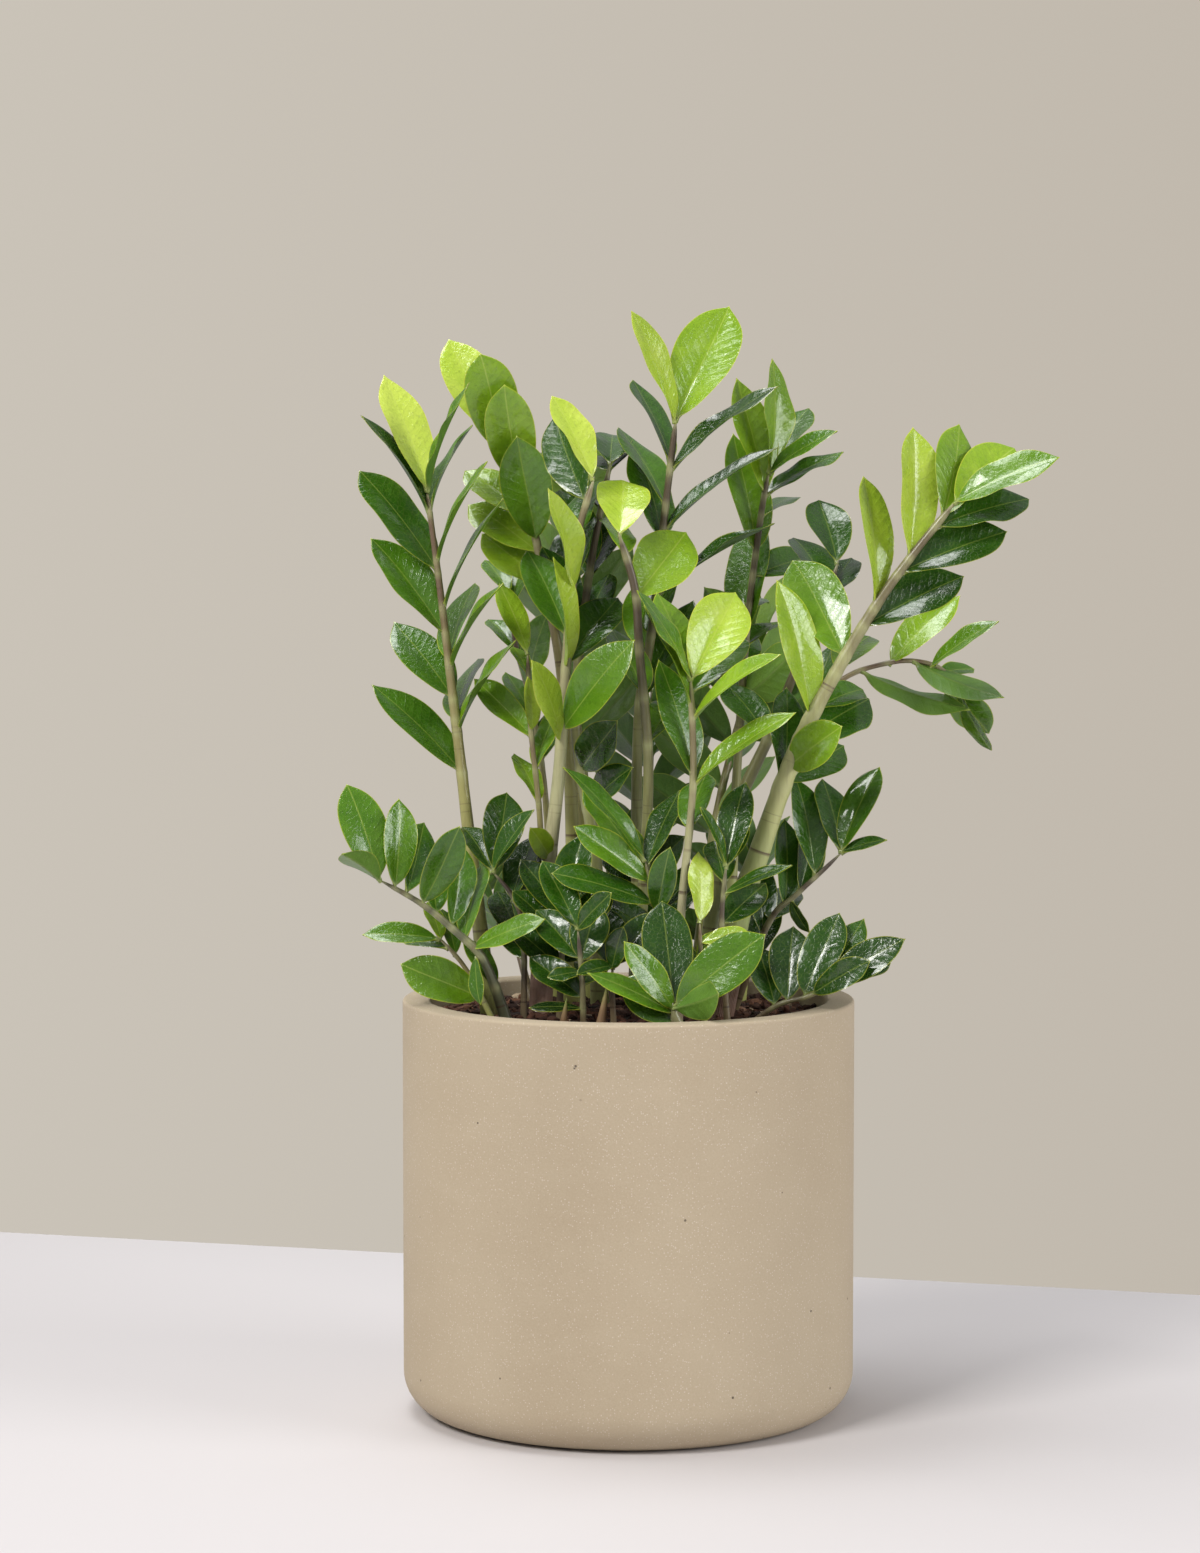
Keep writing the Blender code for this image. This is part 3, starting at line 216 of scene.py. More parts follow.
           (0.44, 34, 45, 62, 33, -20), (0.37, 45, 40, 56, 28, -45), (0.68, -24, -50, 72, 34, 45),
           (1.00, 5, -65, 72, 34, 0))),
    Frond("frond_left_thin", "leaf_new", 2.6, 1.6,
          ((-56, 2, 267), (-59, 0, 386), (-62, 0, 426), (-66, 0, 464), (-68, 0, 515)),
          ((1.00, -22, -10, 52, 21, 35), (0.78, -4, 20, 40, 16, 40), (0.76, -45, -15, 58, 24, 30),
           (0.93, -31, -50, 34, 14, 45), (0.67, 21, -30, 54, 22, -50), (0.58, -29, -45, 52, 22, 50))),
    Frond("frond_back_left_small", "leaf_mid", 3.0, 1.6,
          ((-50, 80, 267), (-57, 82, 408), (-68, 84, 478), (-77, 84, 513), (-83, 85, 554)),
          ((1.00, -37, -50, 46, 20, 40), (0.84, -43, -50, 52, 24, 45), (0.95, 15, -30, 58, 26, -35),
           (0.76, 16, 25, 62, 28, -40), (0.66, -30, -40, 58, 28, 45), (0.58, 24, -30, 58, 27, -40))),
    Frond("frond_back_tall", "leaf_mid", 4.6, 2.0,
          ((-26, 84, 267), (-33, 88, 430), (-36, 98, 520), (-42, 116, 606)),
          paired_leaves(5, 0.52, 76, 35, 40, -12), 168),
    Frond("frond_back_middle", "leaf_dark", 4.4, 1.9,
          ((12, 96, 267), (14, 116, 370), (17, 146, 448), (20, 178, 492)),
          paired_leaves(5, 0.46, 70, 33, 50, -20), 185),
    Frond("frond_back_outer", "leaf_mid", 4.2, 1.9,
          ((46, 84, 267), (58, 96, 372), (76, 116, 452), (96, 150, 514)),
          paired_leaves(5, 0.48, 70, 33, 46, -16), 205),
    Frond("frond_low_back", "leaf_dark", 2.6, 1.6,
          ((2, 62, 267), (4, 64, 310), (6, 68, 352)),
          ((1.00, 4, -20, 62, 30, 0), (0.95, -36, 25, 60, 29, 30), (0.90, 38, 25, 60, 29, -30),
           (0.70, -58, 30, 58, 28, 30), (0.66, 60, 30, 58, 28, -30), (0.50, -20, 45, 52, 26, 20),
           (0.46, 24, 45, 52, 26, -20), (0.80, -30, -45, 56, 27, 150), (0.76, 34, -45, 56, 27, -150))),
    Frond("frond_back_low_left", "leaf_dark", 2.8, 1.5,
          ((-66, 66, 267), (-78, 84, 308), (-92, 112, 330), (-104, 142, 338)),
          paired_leaves(4, 0.40, 50, 24, 60, -10), 150),
    Frond("frond_back_low_right", "leaf_dark", 2.8, 1.5,
          ((58, 104, 267), (70, 124, 318), (82, 146, 342), (92, 170, 352)),
          paired_leaves(4, 0.38, 52, 25, 60, -10), 205),
)

SHOOTS = (
    Shoot("new_shoot_front", 3.0, (-20, -96), (-14, -98, 302)),
    Shoot("new_shoot_left", 2.6, (-44, -84), (-41, -86, 290)),
    Shoot("new_shoot_back", 2.8, (24, 72), (26, 74, 298)),
)

# The CAD model's sizes that the table and the pieces depend on.
GAP = 0.0003
POT_RADIUS = 0.1525
POT_INNER = 0.134
POT_HEIGHT = 0.280
POT_FLOOR = 0.022
POT_LIP_ROUND = 0.002
POT_FOOT_ROUND = 0.028
DRAIN_COUNT = 3
DRAIN_RADIUS = 0.007
DRAIN_CIRCLE_RADIUS = 0.07
SOIL_LEVEL = 0.267
SOIL_CROWN = 0.004
RING_PITCH = 0.036
TAPER_POWER = 1.25
TIP_SETBACK = 0.003
TIP_SPREAD = 0.020
NECK_SHARE = 0.05
NECK_HALF_WIDTH = 0.0013
NECK_FADE = 8
BOW = 0.045
SEARCH_SIZES = (1.0, 0.85, 0.7, 0.55, 0.4)
SEARCH_RINGS = (7, 14, 21, 30, 40)
SEARCH_DIRECTIONS = 8
SAME_PLACE = 0.00006             # how far a leaflet's tip may be from the CAD corner that shows it

# The finer pieces' own sizes.
LEAF_ROWS = 30                   # rings along a leaflet
LEAF_SPANS = 12                  # spans across it
VEIN_PITCH = 0.0072
STALK_STEP = 0.0045
SOIL_SIDES = 200
SOIL_RINGS = 56
CHIP_COUNT = 5200
SHEATH_SIDES = 64
SHEATH_ROWS = 22
SHEATH_SUNK = 0.009
SHEATH_STEPS = 40                # steps along the line that a sheath is swept on

FLOOR_COLOUR = (0.655, 0.625, 0.628)
# The wall's two colours paint the light falling off from the left side to the right side.
WALL_LEFT = (0.590, 0.546, 0.479)
WALL_RIGHT = (0.533, 0.485, 0.418)
SKY_COLOUR = (0.98, 0.98, 1.0)
SKY_STRENGTH = 0.30
FLOOR_OUTLINE = ((-3.5, -4.0), (3.5, -4.0), (3.5, -0.467), (-3.5, 1.493))
FLOOR_THICK = 0.02
CAMERA_PLACE = (-0.0192, -2.6, 0.591)
CAMERA_PITCH = 3.55              # degrees that the camera looks down
CAMERA_LENS = 89.6
CAMERA_SENSOR = 36.0


# ---------------------------------------------------------------- node graphs

class Graph:
    """A short way to write a material's nodes."""

    def __init__(self, name):
        self.material = bpy.data.materials.new(name)
        self.material.use_nodes = True
        self.tree = self.material.node_tree
        self.shader = self.tree.nodes["Principled BSDF"]

    def wire(self, value, socket):
        """Link a socket, or set a constant on it."""
        if isinstance(value, bpy.types.NodeSocket):
            self.tree.links.new(value, socket)
        elif isinstance(value, tuple) and len(value) == 3 and socket.type == 'RGBA':
            socket.default_value = (*value, 1.0)
        else:
            socket.default_value = value

    def node(self, kind, **settings):
        made = self.tree.nodes.new(kind)
        for key, value in settings.items():
            setattr(made, key, value)
        return made

    def attribute(self, name):
        return self.node('ShaderNodeAttribute', attribute_name=name).outputs["Fac"]

    def place(self):
        return self.node('ShaderNodeTexCoord').outputs["Object"]

    def math(self, operation, *values, clamp=False):
        made = self.node('ShaderNodeMath', operation=operation, use_clamp=clamp)
        for value, socket in zip(values, made.inputs):
            self.wire(value, socket)
        return made.outputs[0]

    def plus(self, a, b, clamp=False):
        return self.math('ADD', a, b, clamp=clamp)

    def minus(self, a, b):
        return self.math('SUBTRACT', a, b)

    def times(self, a, b):
        return self.math('MULTIPLY', a, b)

    def shifted(self, value, cloud, amount, clamp=False):
        """A value moved up and down by a noise around its middle."""
        return self.plus(value, self.times(self.minus(cloud, 0.5), amount), clamp)

    def ramp(self, value, *stops):
        """A colour ramp; a stop is (position, colour)."""
        made = self.node('ShaderNodeValToRGB')
        marks = made.color_ramp.elements
        while len(marks) < len(stops):
            marks.new(0.5)
        for mark, (position, colour) in zip(marks, stops):
            mark.position = position
            mark.color = (*colour, 1.0)
        self.wire(value, made.inputs[0])
        return made.outputs[0]

    def fade(self, value, start, end, low=0.0, high=1.0):
        """A smooth step from low to high as the value goes from start to end."""
        made = self.node('ShaderNodeMapRange', interpolation_type='SMOOTHSTEP')
        for item, socket in zip((value, start, end, low, high), made.inputs):
            self.wire(item, socket)
        return made.outputs[0]

    def mix(self, factor, a, b, blend='MIX'):
        made = self.node('ShaderNodeMix', data_type='RGBA', blend_type=blend)
        self.wire(factor, made.inputs[0])
        self.wire(a, made.inputs[6])
        self.wire(b, made.inputs[7])
        return made.outputs[2]

    def noise(self, scale, detail=3.0, roughness=0.5, place=None, stretch=None):
        made = self.node('ShaderNodeTexNoise')
        source = place if place is not None else self.place()
        if stretch:
            mapping = self.node('ShaderNodeMapping')
            mapping.inputs["Scale"].default_value = stretch
            self.wire(source, mapping.inputs["Vector"])
            source = mapping.outputs[0]
        self.wire(source, made.inputs["Vector"])
        made.inputs["Scale"].default_value = scale
        made.inputs["Detail"].default_value = detail
        made.inputs["Roughness"].default_value = roughness
        return made.outputs["Fac"]

    def cells(self, scale, feature='F1'):
        made = self.node('ShaderNodeTexVoronoi', feature=feature)
        self.wire(self.place(), made.inputs["Vector"])
        made.inputs["Scale"].default_value = scale
        return made

    def bump(self, height, distance, strength=1.0, over=None):
        made = self.node('ShaderNodeBump')
        self.wire(height, made.inputs["Height"])
        made.inputs["Distance"].default_value = distance
        self.wire(strength, made.inputs["Strength"])
        if over is not None:
            self.wire(over, made.inputs["Normal"])
        return made.outputs[0]

    def finish(self, **sockets):
        for name, value in sockets.items():
            self.wire(value, self.shader.inputs[name.replace("_", " ")])
        return self.material


LEAF_TONES = ((0.0, (0.007, 0.028, 0.003)), (0.25, (0.026, 0.092, 0.004)), (0.4, (0.062, 0.170, 0.006)),
              (0.55, (0.125, 0.265, 0.009)), (0.7, (0.225, 0.385, 0.014)), (0.85, (0.365, 0.520, 0.035)),
              (1.0, (0.500, 0.620, 0.080)))


def leaf_material(name):
    """A waxy leaflet: tone from dark to new, pale midrib, quilted veins, thin margin, pale underside."""
    g = Graph(name)
    tone = g.attribute("tone")
    under = g.attribute("under")
    rib = g.attribute("rib")
    edge = g.attribute("edge")
    share = g.attribute("share")
    cloud = g.noise(38.0, 3.0, 0.55)
    shade = g.shifted(tone, cloud, 0.30, clamp=True)
    blade = g.ramp(shade, *LEAF_TONES)
    phase = g.times(g.attribute("vein"), 2 * math.pi)
    crest = g.math('ABSOLUTE', g.math('SINE', g.times(phase, 0.5)))
    furrow = g.fade(crest, 0.0, 0.16, 1.0, 0.0)
    beside = g.fade(rib, 0.0010, 0.0040)
    vein = g.times(furrow, g.times(beside, 0.10))
    lighter = g.mix(0.35, blade, (0.40, 0.56, 0.08))
    blade = g.mix(vein, blade, lighter)
    net = g.fade(g.cells(330.0, 'DISTANCE_TO_EDGE').outputs["Distance"], 0.0, 0.10, 1.0, 0.0)
    blade = g.mix(g.times(net, 0.16), blade, lighter)
    speck = g.noise(520.0, 2.0, 0.6)
    blade = g.mix(g.fade(speck, 0.52, 0.72, 0.0, 0.20), blade, (0.020, 0.055, 0.006))
    strength = g.fade(tone, 0.1, 0.9, 0.22, 0.50)
    line = g.mix(strength, blade, (0.50, 0.60, 0.12))
    blade = g.mix(g.fade(rib, 0.0001, 0.0008, 0.85, 0.0), blade, line)
    rim = g.mix(g.fade(tone, 0.1, 0.9, 0.36, 0.62), blade, (0.66, 0.66, 0.06))
    blade = g.mix(g.fade(edge, 0.0002, 0.0009, 0.9, 0.0), blade, rim)
    pale = g.mix(0.38, blade, (0.115, 0.205, 0.050))
    dark_rib = g.fade(rib, 0.0003, 0.0012, 0.35, 0.0)
    pale = g.mix(dark_rib, pale, (0.090, 0.150, 0.030))
    blade = g.mix(under, blade, pale)
    neck = g.fade(share, 0.02, 0.10, 0.7, 0.0)
    blade = g.mix(neck, blade, (0.33, 0.38, 0.14))
    rough = g.plus(g.times(under, 0.26), g.fade(cloud, 0.3, 0.7, 0.17, 0.30))
    soft = g.noise(110.0, 3.0, 0.55)
    quilt = g.times(g.math('POWER', crest, 0.6), beside)
    height = g.plus(g.times(quilt, 0.45), g.times(soft, 2.1))
    height = g.minus(height, g.times(net, 0.16))
    normal = g.bump(height, 0.0009, 0.50)
    grain = g.noise(1400.0, 2.0, 0.6)
    normal = g.bump(grain, 0.00006, 0.35, normal)
    return g.finish(Base_Color=blade, Roughness=rough, Normal=normal, IOR=1.46, Coat_Weight=0.45,
                    Coat_Roughness=0.07)


def stalk_material(name, low, middle, high, bands, band_colour):
    """A fleshy stalk: colour changes with height, with darker ring bands and fine streaks."""
    g = Graph(name)
    climb = g.attribute("climb")
    level = g.attribute("level")
    cloud = g.noise(55.0, 4.0, 0.6, stretch=(1.0, 1.0, 0.35))
    moved = g.shifted(climb, cloud, 0.30)
    skin = g.ramp(moved, (0.02, low), (0.45, middle), (0.82, high))
    across = g.node('ShaderNodeCombineXYZ')
    g.wire(level, across.inputs[0])
    ring = g.noise(95.0, 3.0, 0.7, place=across.outputs[0])
    broken = g.noise(90.0, 3.0, 0.6)
    band = g.times(g.fade(ring, 0.575, 0.635), g.fade(broken, 0.35, 0.55, 0.35, 1.0))
    lowest, highest = bands
    where = g.times(g.fade(climb, lowest - 0.08, lowest), g.fade(climb, highest, highest + 0.12, 1.0, 0.0))
    band = g.times(band, g.times(where, 0.85))
    skin = g.mix(band, skin, band_colour)
    joint = g.attribute("joint")
    skin = g.mix(g.times(joint, 0.55), skin, (0.46, 0.47, 0.22))
    streak = g.noise(420.0, 2.0, 0.5, stretch=(1.0, 1.0, 0.08))
    skin = g.mix(g.fade(streak, 0.45, 0.75, 0.0, 0.22), skin, band_colour)
    rough = g.fade(cloud, 0.3, 0.7, 0.30, 0.45)
    normal = g.bump(g.plus(streak, g.times(ring, 0.6)), 0.0003, 0.5)
    return g.finish(Base_Color=skin, Roughness=rough, Normal=normal, Coat_Weight=0.2, Coat_Roughness=0.15)


def stone_material():
    """Matt cast stone: warm grey-beige, cloudy, finely speckled, with a few pinholes painted dark for the
    shade inside them.
    """
    g = Graph("cast_stone_fine")
    cloud = g.noise(7.0, 4.0, 0.6)
    skin = g.ramp(cloud, (0.25, (0.430, 0.345, 0.236)), (0.75, (0.480, 0.395, 0.280)))
    sand = g.noise(900.0, 2.0, 0.7)
    skin = g.mix(g.fade(sand, 0.40, 0.75, 0.0, 0.14), skin, (0.66, 0.58, 0.46))
    dark = g.noise(620.0, 2.0, 0.65)
    skin = g.mix(g.fade(dark, 0.58, 0.74, 0.0, 0.16), skin, (0.30, 0.24, 0.17))
    smear = g.noise(26.0, 5.0, 0.65, stretch=(1.0, 1.0, 1.8))
    skin = g.mix(g.fade(smear, 0.45, 0.75, 0.0, 0.12), skin, (0.58, 0.51, 0.39))
    grit = g.cells(820.0)
    pick = g.node('ShaderNodeSeparateColor')
    g.wire(grit.outputs["Color"], pick.inputs[0])
    thick = g.noise(9.0, 2.0, 0.5)
    chosen = g.fade(g.plus(pick.outputs[0], g.times(thick, 0.30)), 0.96, 1.00)
    fleck = g.times(g.fade(grit.outputs["Distance"], 0.18, 0.44, 1.0, 0.0), chosen)
    skin = g.mix(g.times(fleck, 0.36), skin, (0.84, 0.80, 0.72))
    pits = g.cells(95.0)
    pit_pick = g.node('ShaderNodeSeparateColor')
    g.wire(pits.outputs["Color"], pit_pick.inputs[0])
    gate = g.times(g.fade(g.noise(13.0, 1.0, 0.5), 0.42, 0.50), g.fade(pit_pick.outputs[1], 0.78, 0.80))
    pit = g.times(g.fade(pits.outputs["Distance"], 0.055, 0.10, 1.0, 0.0), gate)
    # The pinholes' near-black colour is painted shade inside the holes; their dip comes from the bump below.
    skin = g.mix(g.times(pit, 0.85), skin, (0.075, 0.055, 0.040))
    height = g.minus(g.plus(g.times(sand, 0.5), g.times(smear, 1.4)),
                    g.times(pit, 3.0))
    normal = g.bump(height, 0.00035, 0.45)
    return g.finish(Base_Color=skin, Roughness=g.fade(smear, 0.3, 0.7, 0.80, 0.93), Normal=normal)


def bark_material():
    """Chips of bark and coir: each has its own tone, with fine fibres."""
    g = Graph("bark_fine")
    tone = g.attribute("tone")
    skin = g.ramp(tone, (0.0, (0.013, 0.006, 0.004)), (0.35, (0.048, 0.018, 0.010)),
                  (0.65, (0.115, 0.042, 0.021)), (0.86, (0.220, 0.100, 0.052)), (1.0, (0.520, 0.400, 0.270)))
    fibre = g.noise(700.0, 4.0, 0.7, stretch=(1.0, 0.25, 1.0))
    skin = g.mix(g.fade(fibre, 0.4, 0.7, 0.0, 0.5), skin, (0.020, 0.010, 0.006))
    normal = g.bump(fibre, 0.0006, 0.8)
    return g.finish(Base_Color=skin, Roughness=0.92, Normal=normal)


def sheath_material():
    """A dry papery sheath: pinkish brown, with lengthwise veins."""
    g = Graph("dry_sheath_fine")
    around = g.attribute("around")
    climb = g.attribute("climb")
    line = g.math('ABSOLUTE', g.math('SINE', g.times(around, 26.0)))
    cloud = g.noise(70.0, 4.0, 0.6)
    skin = g.ramp(cloud, (0.3, (0.340, 0.180, 0.125)), (0.7, (0.560, 0.370, 0.290)))
    skin = g.mix(g.fade(line, 0.0, 0.5, 0.40, 0.0), skin, (0.190, 0.090, 0.060))
    skin = g.mix(g.fade(climb, 0.75, 1.0, 0.0, 0.6), skin, (0.520, 0.400, 0.280))
    normal = g.bump(g.plus(line, g.times(cloud, 0.8)), 0.0006, 0.8)
    return g.finish(Base_Color=skin, Roughness=0.62, Normal=normal)


def shoot_material():
    """A rolled new shoot: brown scale at the foot and green toward the point."""
    g = Graph("shoot_fine")
    climb = g.attribute("climb")
    cloud = g.noise(120.0, 3.0, 0.6)
    moved = g.shifted(climb, cloud, 0.4)
    skin = g.ramp(moved, (0.1, (0.150, 0.075, 0.040)), (0.55, (0.290, 0.190, 0.090)),
                  (0.95, (0.230, 0.300, 0.060)))
    return g.finish(Base_Color=skin, Roughness=0.5, Normal=g.bump(cloud, 0.0005, 0.5))


# ---------------------------------------------------------------- the CAD model's own geometry

def half_width(share, width, shoulder, point, tip):
    """Return half a leaflet's width at shares of its length: an ellipse that ends in a short point."""
    blade = np.clip((share - NECK_SHARE) / (1 - NECK_SHARE), 0.0, 1.0)
    fullness = blade ** shoulder * (1 - blade) ** point * (1 - np.exp((blade - 1) / tip))
    return 0.5 * width * fullness / fullness.max() + NECK_HALF_WIDTH * (1 - share) ** NECK_FADE


def leaf_axes(leaf, facing):
    """Return the unit vectors along a leaflet, across it and out of its upper face."""
    swing, out = math.radians(leaf.swing), math.radians(leaf.out)
    along = Vector((math.sin(swing) * math.cos(out), -math.sin(out), math.cos(swing) * math.cos(out)))
    front = Vector((0.0, -1.0, 0.0))
    upper = (front - front.dot(along) * along).normalized()
    upper.rotate(Quaternion(along, math.radians(leaf.turn)))
    around = Quaternion((0.0, 0.0, 1.0), math.radians(facing))
    along.rotate(around)
    upper.rotate(around)
    return along, upper.cross(along), upper


def spline_point(before, start, end, after, share):
    """Return a point on the smooth curve between two of four following points."""
    return 0.5 * (2 * start + (end - before) * share
                  + (2 * before - 5 * start + 4 * end - after) * share ** 2
                  + (3 * start - before - 3 * end + after) * share ** 3)


def smooth_route(knots, steps=8):
    """Return a finely stepped smooth route through knots."""
    ends = [2 * knots[0] - knots[1]] + knots + [2 * knots[-1] - knots[-2]]
    route = []
    for i in range(len(knots) - 1):
        route.extend(spline_point(*ends[i:i + 4], step / steps) for step in range(steps))
    return route + [knots[-1]]


def lengths_along(points):
    """Return each point's distance from the first along the route."""
    sums = [0.0]
    for start, end in zip(points, points[1:]):
        sums.append(sums[-1] + (end - start).length)
    return sums


def point_along(points, distance):
    """Return the point at a distance along a route."""
    sums = lengths_along(points)
    for i in range(len(points) - 1):
        if distance <= sums[i + 1]:
            share = (distance - sums[i]) / (sums[i + 1] - sums[i])
            return points[i].lerp(points[i + 1], share)
    return points[-1].copy()


def poses(leaf):
    """Yield a leaflet as its row has it, and then ever further from that."""
    for size in SEARCH_SIZES:
        length, width = leaf.length * size, leaf.width * size
        yield leaf._replace(length=length, width=width)
        for ring in SEARCH_RINGS:
            for step in range(SEARCH_DIRECTIONS):
                angle = 2 * math.pi * step / SEARCH_DIRECTIONS
                yield leaf._replace(swing=leaf.swing + ring * math.sin(angle),
                                    out=leaf.out - ring * math.cos(angle), length=length, width=width)


class Route:
    """A stalk's smooth line and the CAD model's coarser one, which the joints stand on."""

    def __init__(self, frond):
        knots = [Vector(knot) * MM for knot in frond.route]
        self.fine = smooth_route(knots)
        length = lengths_along(self.fine)[-1]
        count = max(3, round(length / RING_PITCH))
        self.rings = [point_along(self.fine, length * i / count) for i in range(count + 1)]
        self.length = lengths_along(self.rings)[-1]

    def joint_distance(self, share):
        return min(share * self.length, self.length - TIP_SETBACK - TIP_SPREAD * (1 - share))

    def joint(self, share):
        return point_along(self.rings, self.joint_distance(share))


def cad_tree(name):
    """Return a search tree of a CAD node's vertices."""
    corners = frame["nodes"][name].data.vertices
    tree = KDTree(len(corners))
    for i, corner in enumerate(corners):
        tree.insert(corner.co, i)
    tree.balance()
    return tree


def standing_leaves(frond, route):
    """Return (row number, base, leaf) for each leaflet, in the pose that the CAD mesh shows."""
    tree = cad_tree(frond.name)
    found = []
    for number, row in enumerate(frond.leaves):
        base = route.joint(row[0])
        for pose in poses(Leaf(*row)):
            along = leaf_axes(pose, frond.facing)[0]
            tip = base + along * pose.length * MM
            if tree.find(tip)[2] < SAME_PLACE:
                found.append((number, base, pose))
                break
    return found


# ---------------------------------------------------------------- meshes

class Build:
    """Collects grids of points into one mesh with named float attributes."""

    def __init__(self):
        self.points, self.faces, self.sharp = [], [], []
        self.values = {}
        self.face_values = {}
        self.count = 0

    def add(self, points, faces, values, face_values, sharp=()):
        """Add points, faces that count from 0, and their attributes."""
        points = np.asarray(points, float)
        self.points.append(points)
        self.faces.extend(tuple(i + self.count for i in face) for face in faces)
        self.sharp.extend((a + self.count, b + self.count) for a, b in sharp)
        for name, value in values.items():
            self.values.setdefault(name, []).append((self.count, np.broadcast_to(value, len(points))))
        for name, value in face_values.items():
            self.face_values.setdefault(name, []).append(np.broadcast_to(value, len(faces)))
        self.count += len(points)

    def object(self, name, materials):
        """Make the object. The face value "skin" picks the material."""
        mesh = bpy.data.meshes.new(name)
        mesh.from_pydata(np.concatenate(self.points).tolist(), [], self.faces)
        for key, parts in self.values.items():
            line = np.zeros(self.count, np.float32)
            for start, value in parts:
                line[start:start + len(value)] = value
            mesh.attributes.new(key, 'FLOAT', 'POINT').data.foreach_set("value", line)
        for key, parts in self.face_values.items():
            line = np.concatenate(parts)
            if key == "skin":
                mesh.polygons.foreach_set("material_index", line.astype(np.int32))
            else:
                mesh.attributes.new(key, 'FLOAT', 'FACE').data.foreach_set("value", line.astype(np.float32))
        for item in materials:
            mesh.materials.append(item)
        mesh.polygons.foreach_set("use_smooth", np.ones(len(mesh.polygons), bool))
        if self.sharp:
            wanted = {frozenset(pair) for pair in self.sharp}
            marks = np.array([frozenset(edge.vertices) in wanted for edge in mesh.edges], bool)
            mesh.attributes.new("sharp_edge", 'BOOLEAN', 'EDGE').data.foreach_set("value", marks)
        mesh.validate()
        mesh.update()
        item = bpy.data.objects.new(name, mesh)
        bpy.context.scene.collection.objects.link(item)
        return item


def ring_faces(rows, sides):
    """Return the quads between rings of points."""
    quads = []
    for i in range(rows - 1):
        for j in range(sides):
            k = (j + 1) % sides
            quads.append((i * sides + j, i * sides + k, (i + 1) * sides + k, (i + 1) * sides + j))
    return quads


def tube_faces(rows, sides):
    """Return the faces of a tube of rings, closed at both ends."""
    faces = [tuple(reversed(face)) for face in ring_faces(rows, sides)]
    return faces + [tuple(range(sides)), tuple(range(rows * sides - 1, (rows - 1) * sides - 1, -1))]


def taper(frond, share):
    """Return a stalk's radius at shares of its length."""
    thick, thin = frond.thick * MM, frond.thin * MM
    return thin + (thick - thin) * share ** TAPER_POWER


def leaf_topology(rows, spans):
    """Return a leaflet's faces, whether each is on its underside, and its sharp edges.

    Its points are the upper grid without the last row, the lower grid without that row and its two
    sides, and the tip.
    """
    per, body = spans + 1, rows - 1
    upper = np.arange(body * per).reshape(body, per)
    lower = upper.copy()
    lower[:, 1:spans] = body * per + np.arange(body * (spans - 1)).reshape(body, spans - 1)
    tip = body * (per + spans - 1)
    faces = []
    for i in range(body - 1):
        for j in range(spans):
            faces.append((upper[i, j], upper[i, j + 1], upper[i + 1, j + 1], upper[i + 1, j]))
            faces.append((lower[i, j + 1], lower[i, j], lower[i + 1, j], lower[i + 1, j + 1]))
    for j in range(spans):
        faces.append((upper[-1, j], upper[-1, j + 1], tip))
        faces.append((lower[-1, j + 1], lower[-1, j], tip))
    under = np.array([0.0, 1.0] * (len(faces) // 2) + [1.0])
    faces.append((*upper[0, ::-1], *lower[0, 1:spans]))
    sides = [(line[i], line[i + 1]) for i in range(body - 1) for line in (upper[:, 0], upper[:, -1])]
    sharp = sides + [(upper[-1, 0], tip), (upper[-1, -1], tip)]
    return ([tuple(int(i) for i in face) for face in faces], under,
            [(int(start), int(end)) for start, end in sharp])


def leaf_stations(rows, spans):
    """Return shares along a leaflet as a column, closer near its ends, and across it as a row."""
    even = np.linspace(0.0, 1.0, rows)
    along = 0.45 * even + 0.55 * (0.5 - 0.5 * np.cos(np.pi * even))
    along[-1] = 1.0
    across = np.linspace(-1.0, 1.0, spans + 1)
    across = np.sign(across) * np.abs(across) ** 1.15
    return along[:, None], across[None, :]


LEAF_FACES, LEAF_UNDER, LEAF_SHARP = leaf_topology(LEAF_ROWS, LEAF_SPANS)
LEAF_ALONG, LEAF_ACROSS = leaf_stations(LEAF_ROWS, LEAF_SPANS)


def leaf_surface(length, width, fold, rng):
    """Return how far a leaflet's middle surface is across and up at its stations, and its half widths."""
    S, U = LEAF_ALONG, LEAF_ACROSS
    half = half_width(S[:, 0], 0.98 * width, rng.uniform(0.60, 0.76), rng.uniform(0.50, 0.64),
                      rng.uniform(0.05, 0.10))
    half[-1] = 0.0
    H = half[:, None]
    fold = math.radians(14 + 18 * rng.uniform() ** 1.3 if fold is None else fold)
    sweep = rng.uniform(-0.030, 0.030)
    curl = rng.uniform(-0.030, 0.012)
    twist = math.radians(rng.uniform(-14, 14))
    ripples = rng.uniform(1.2, 2.2)
    start = rng.uniform(0, 2 * math.pi, 2)
    swell = rng.uniform(0.004, 0.028)
    droop = rng.uniform(0.04, 0.20)
    blade = np.clip((S - NECK_SHARE) / (1 - NECK_SHARE), 0, 1)
    side = U * H * math.cos(fold) + sweep * length * S ** 2 * np.sin(np.pi * S)
    soft = np.sqrt(U ** 2 + 0.0036) - 0.06
    rise = soft * H * math.sin(fold) * (1 - 0.35 * blade) - droop * H * np.abs(U) ** 2.4 * blade
    phase = np.where(U < 0, start[0], start[1])
    rise = rise + (swell * length * np.abs(U) ** 2 * np.sin(2 * np.pi * ripples * S + phase)
                   * np.sin(np.pi * blade))
    turn = twist * (blade - 0.45) * blade
    side, rise = side * np.cos(turn) - rise * np.sin(turn), side * np.sin(turn) + rise * np.cos(turn)
    rise = rise + 4 * BOW * length * S * (1 - S) + curl * length * blade ** 3 * (1 - blade) * 4
    return side, rise, H


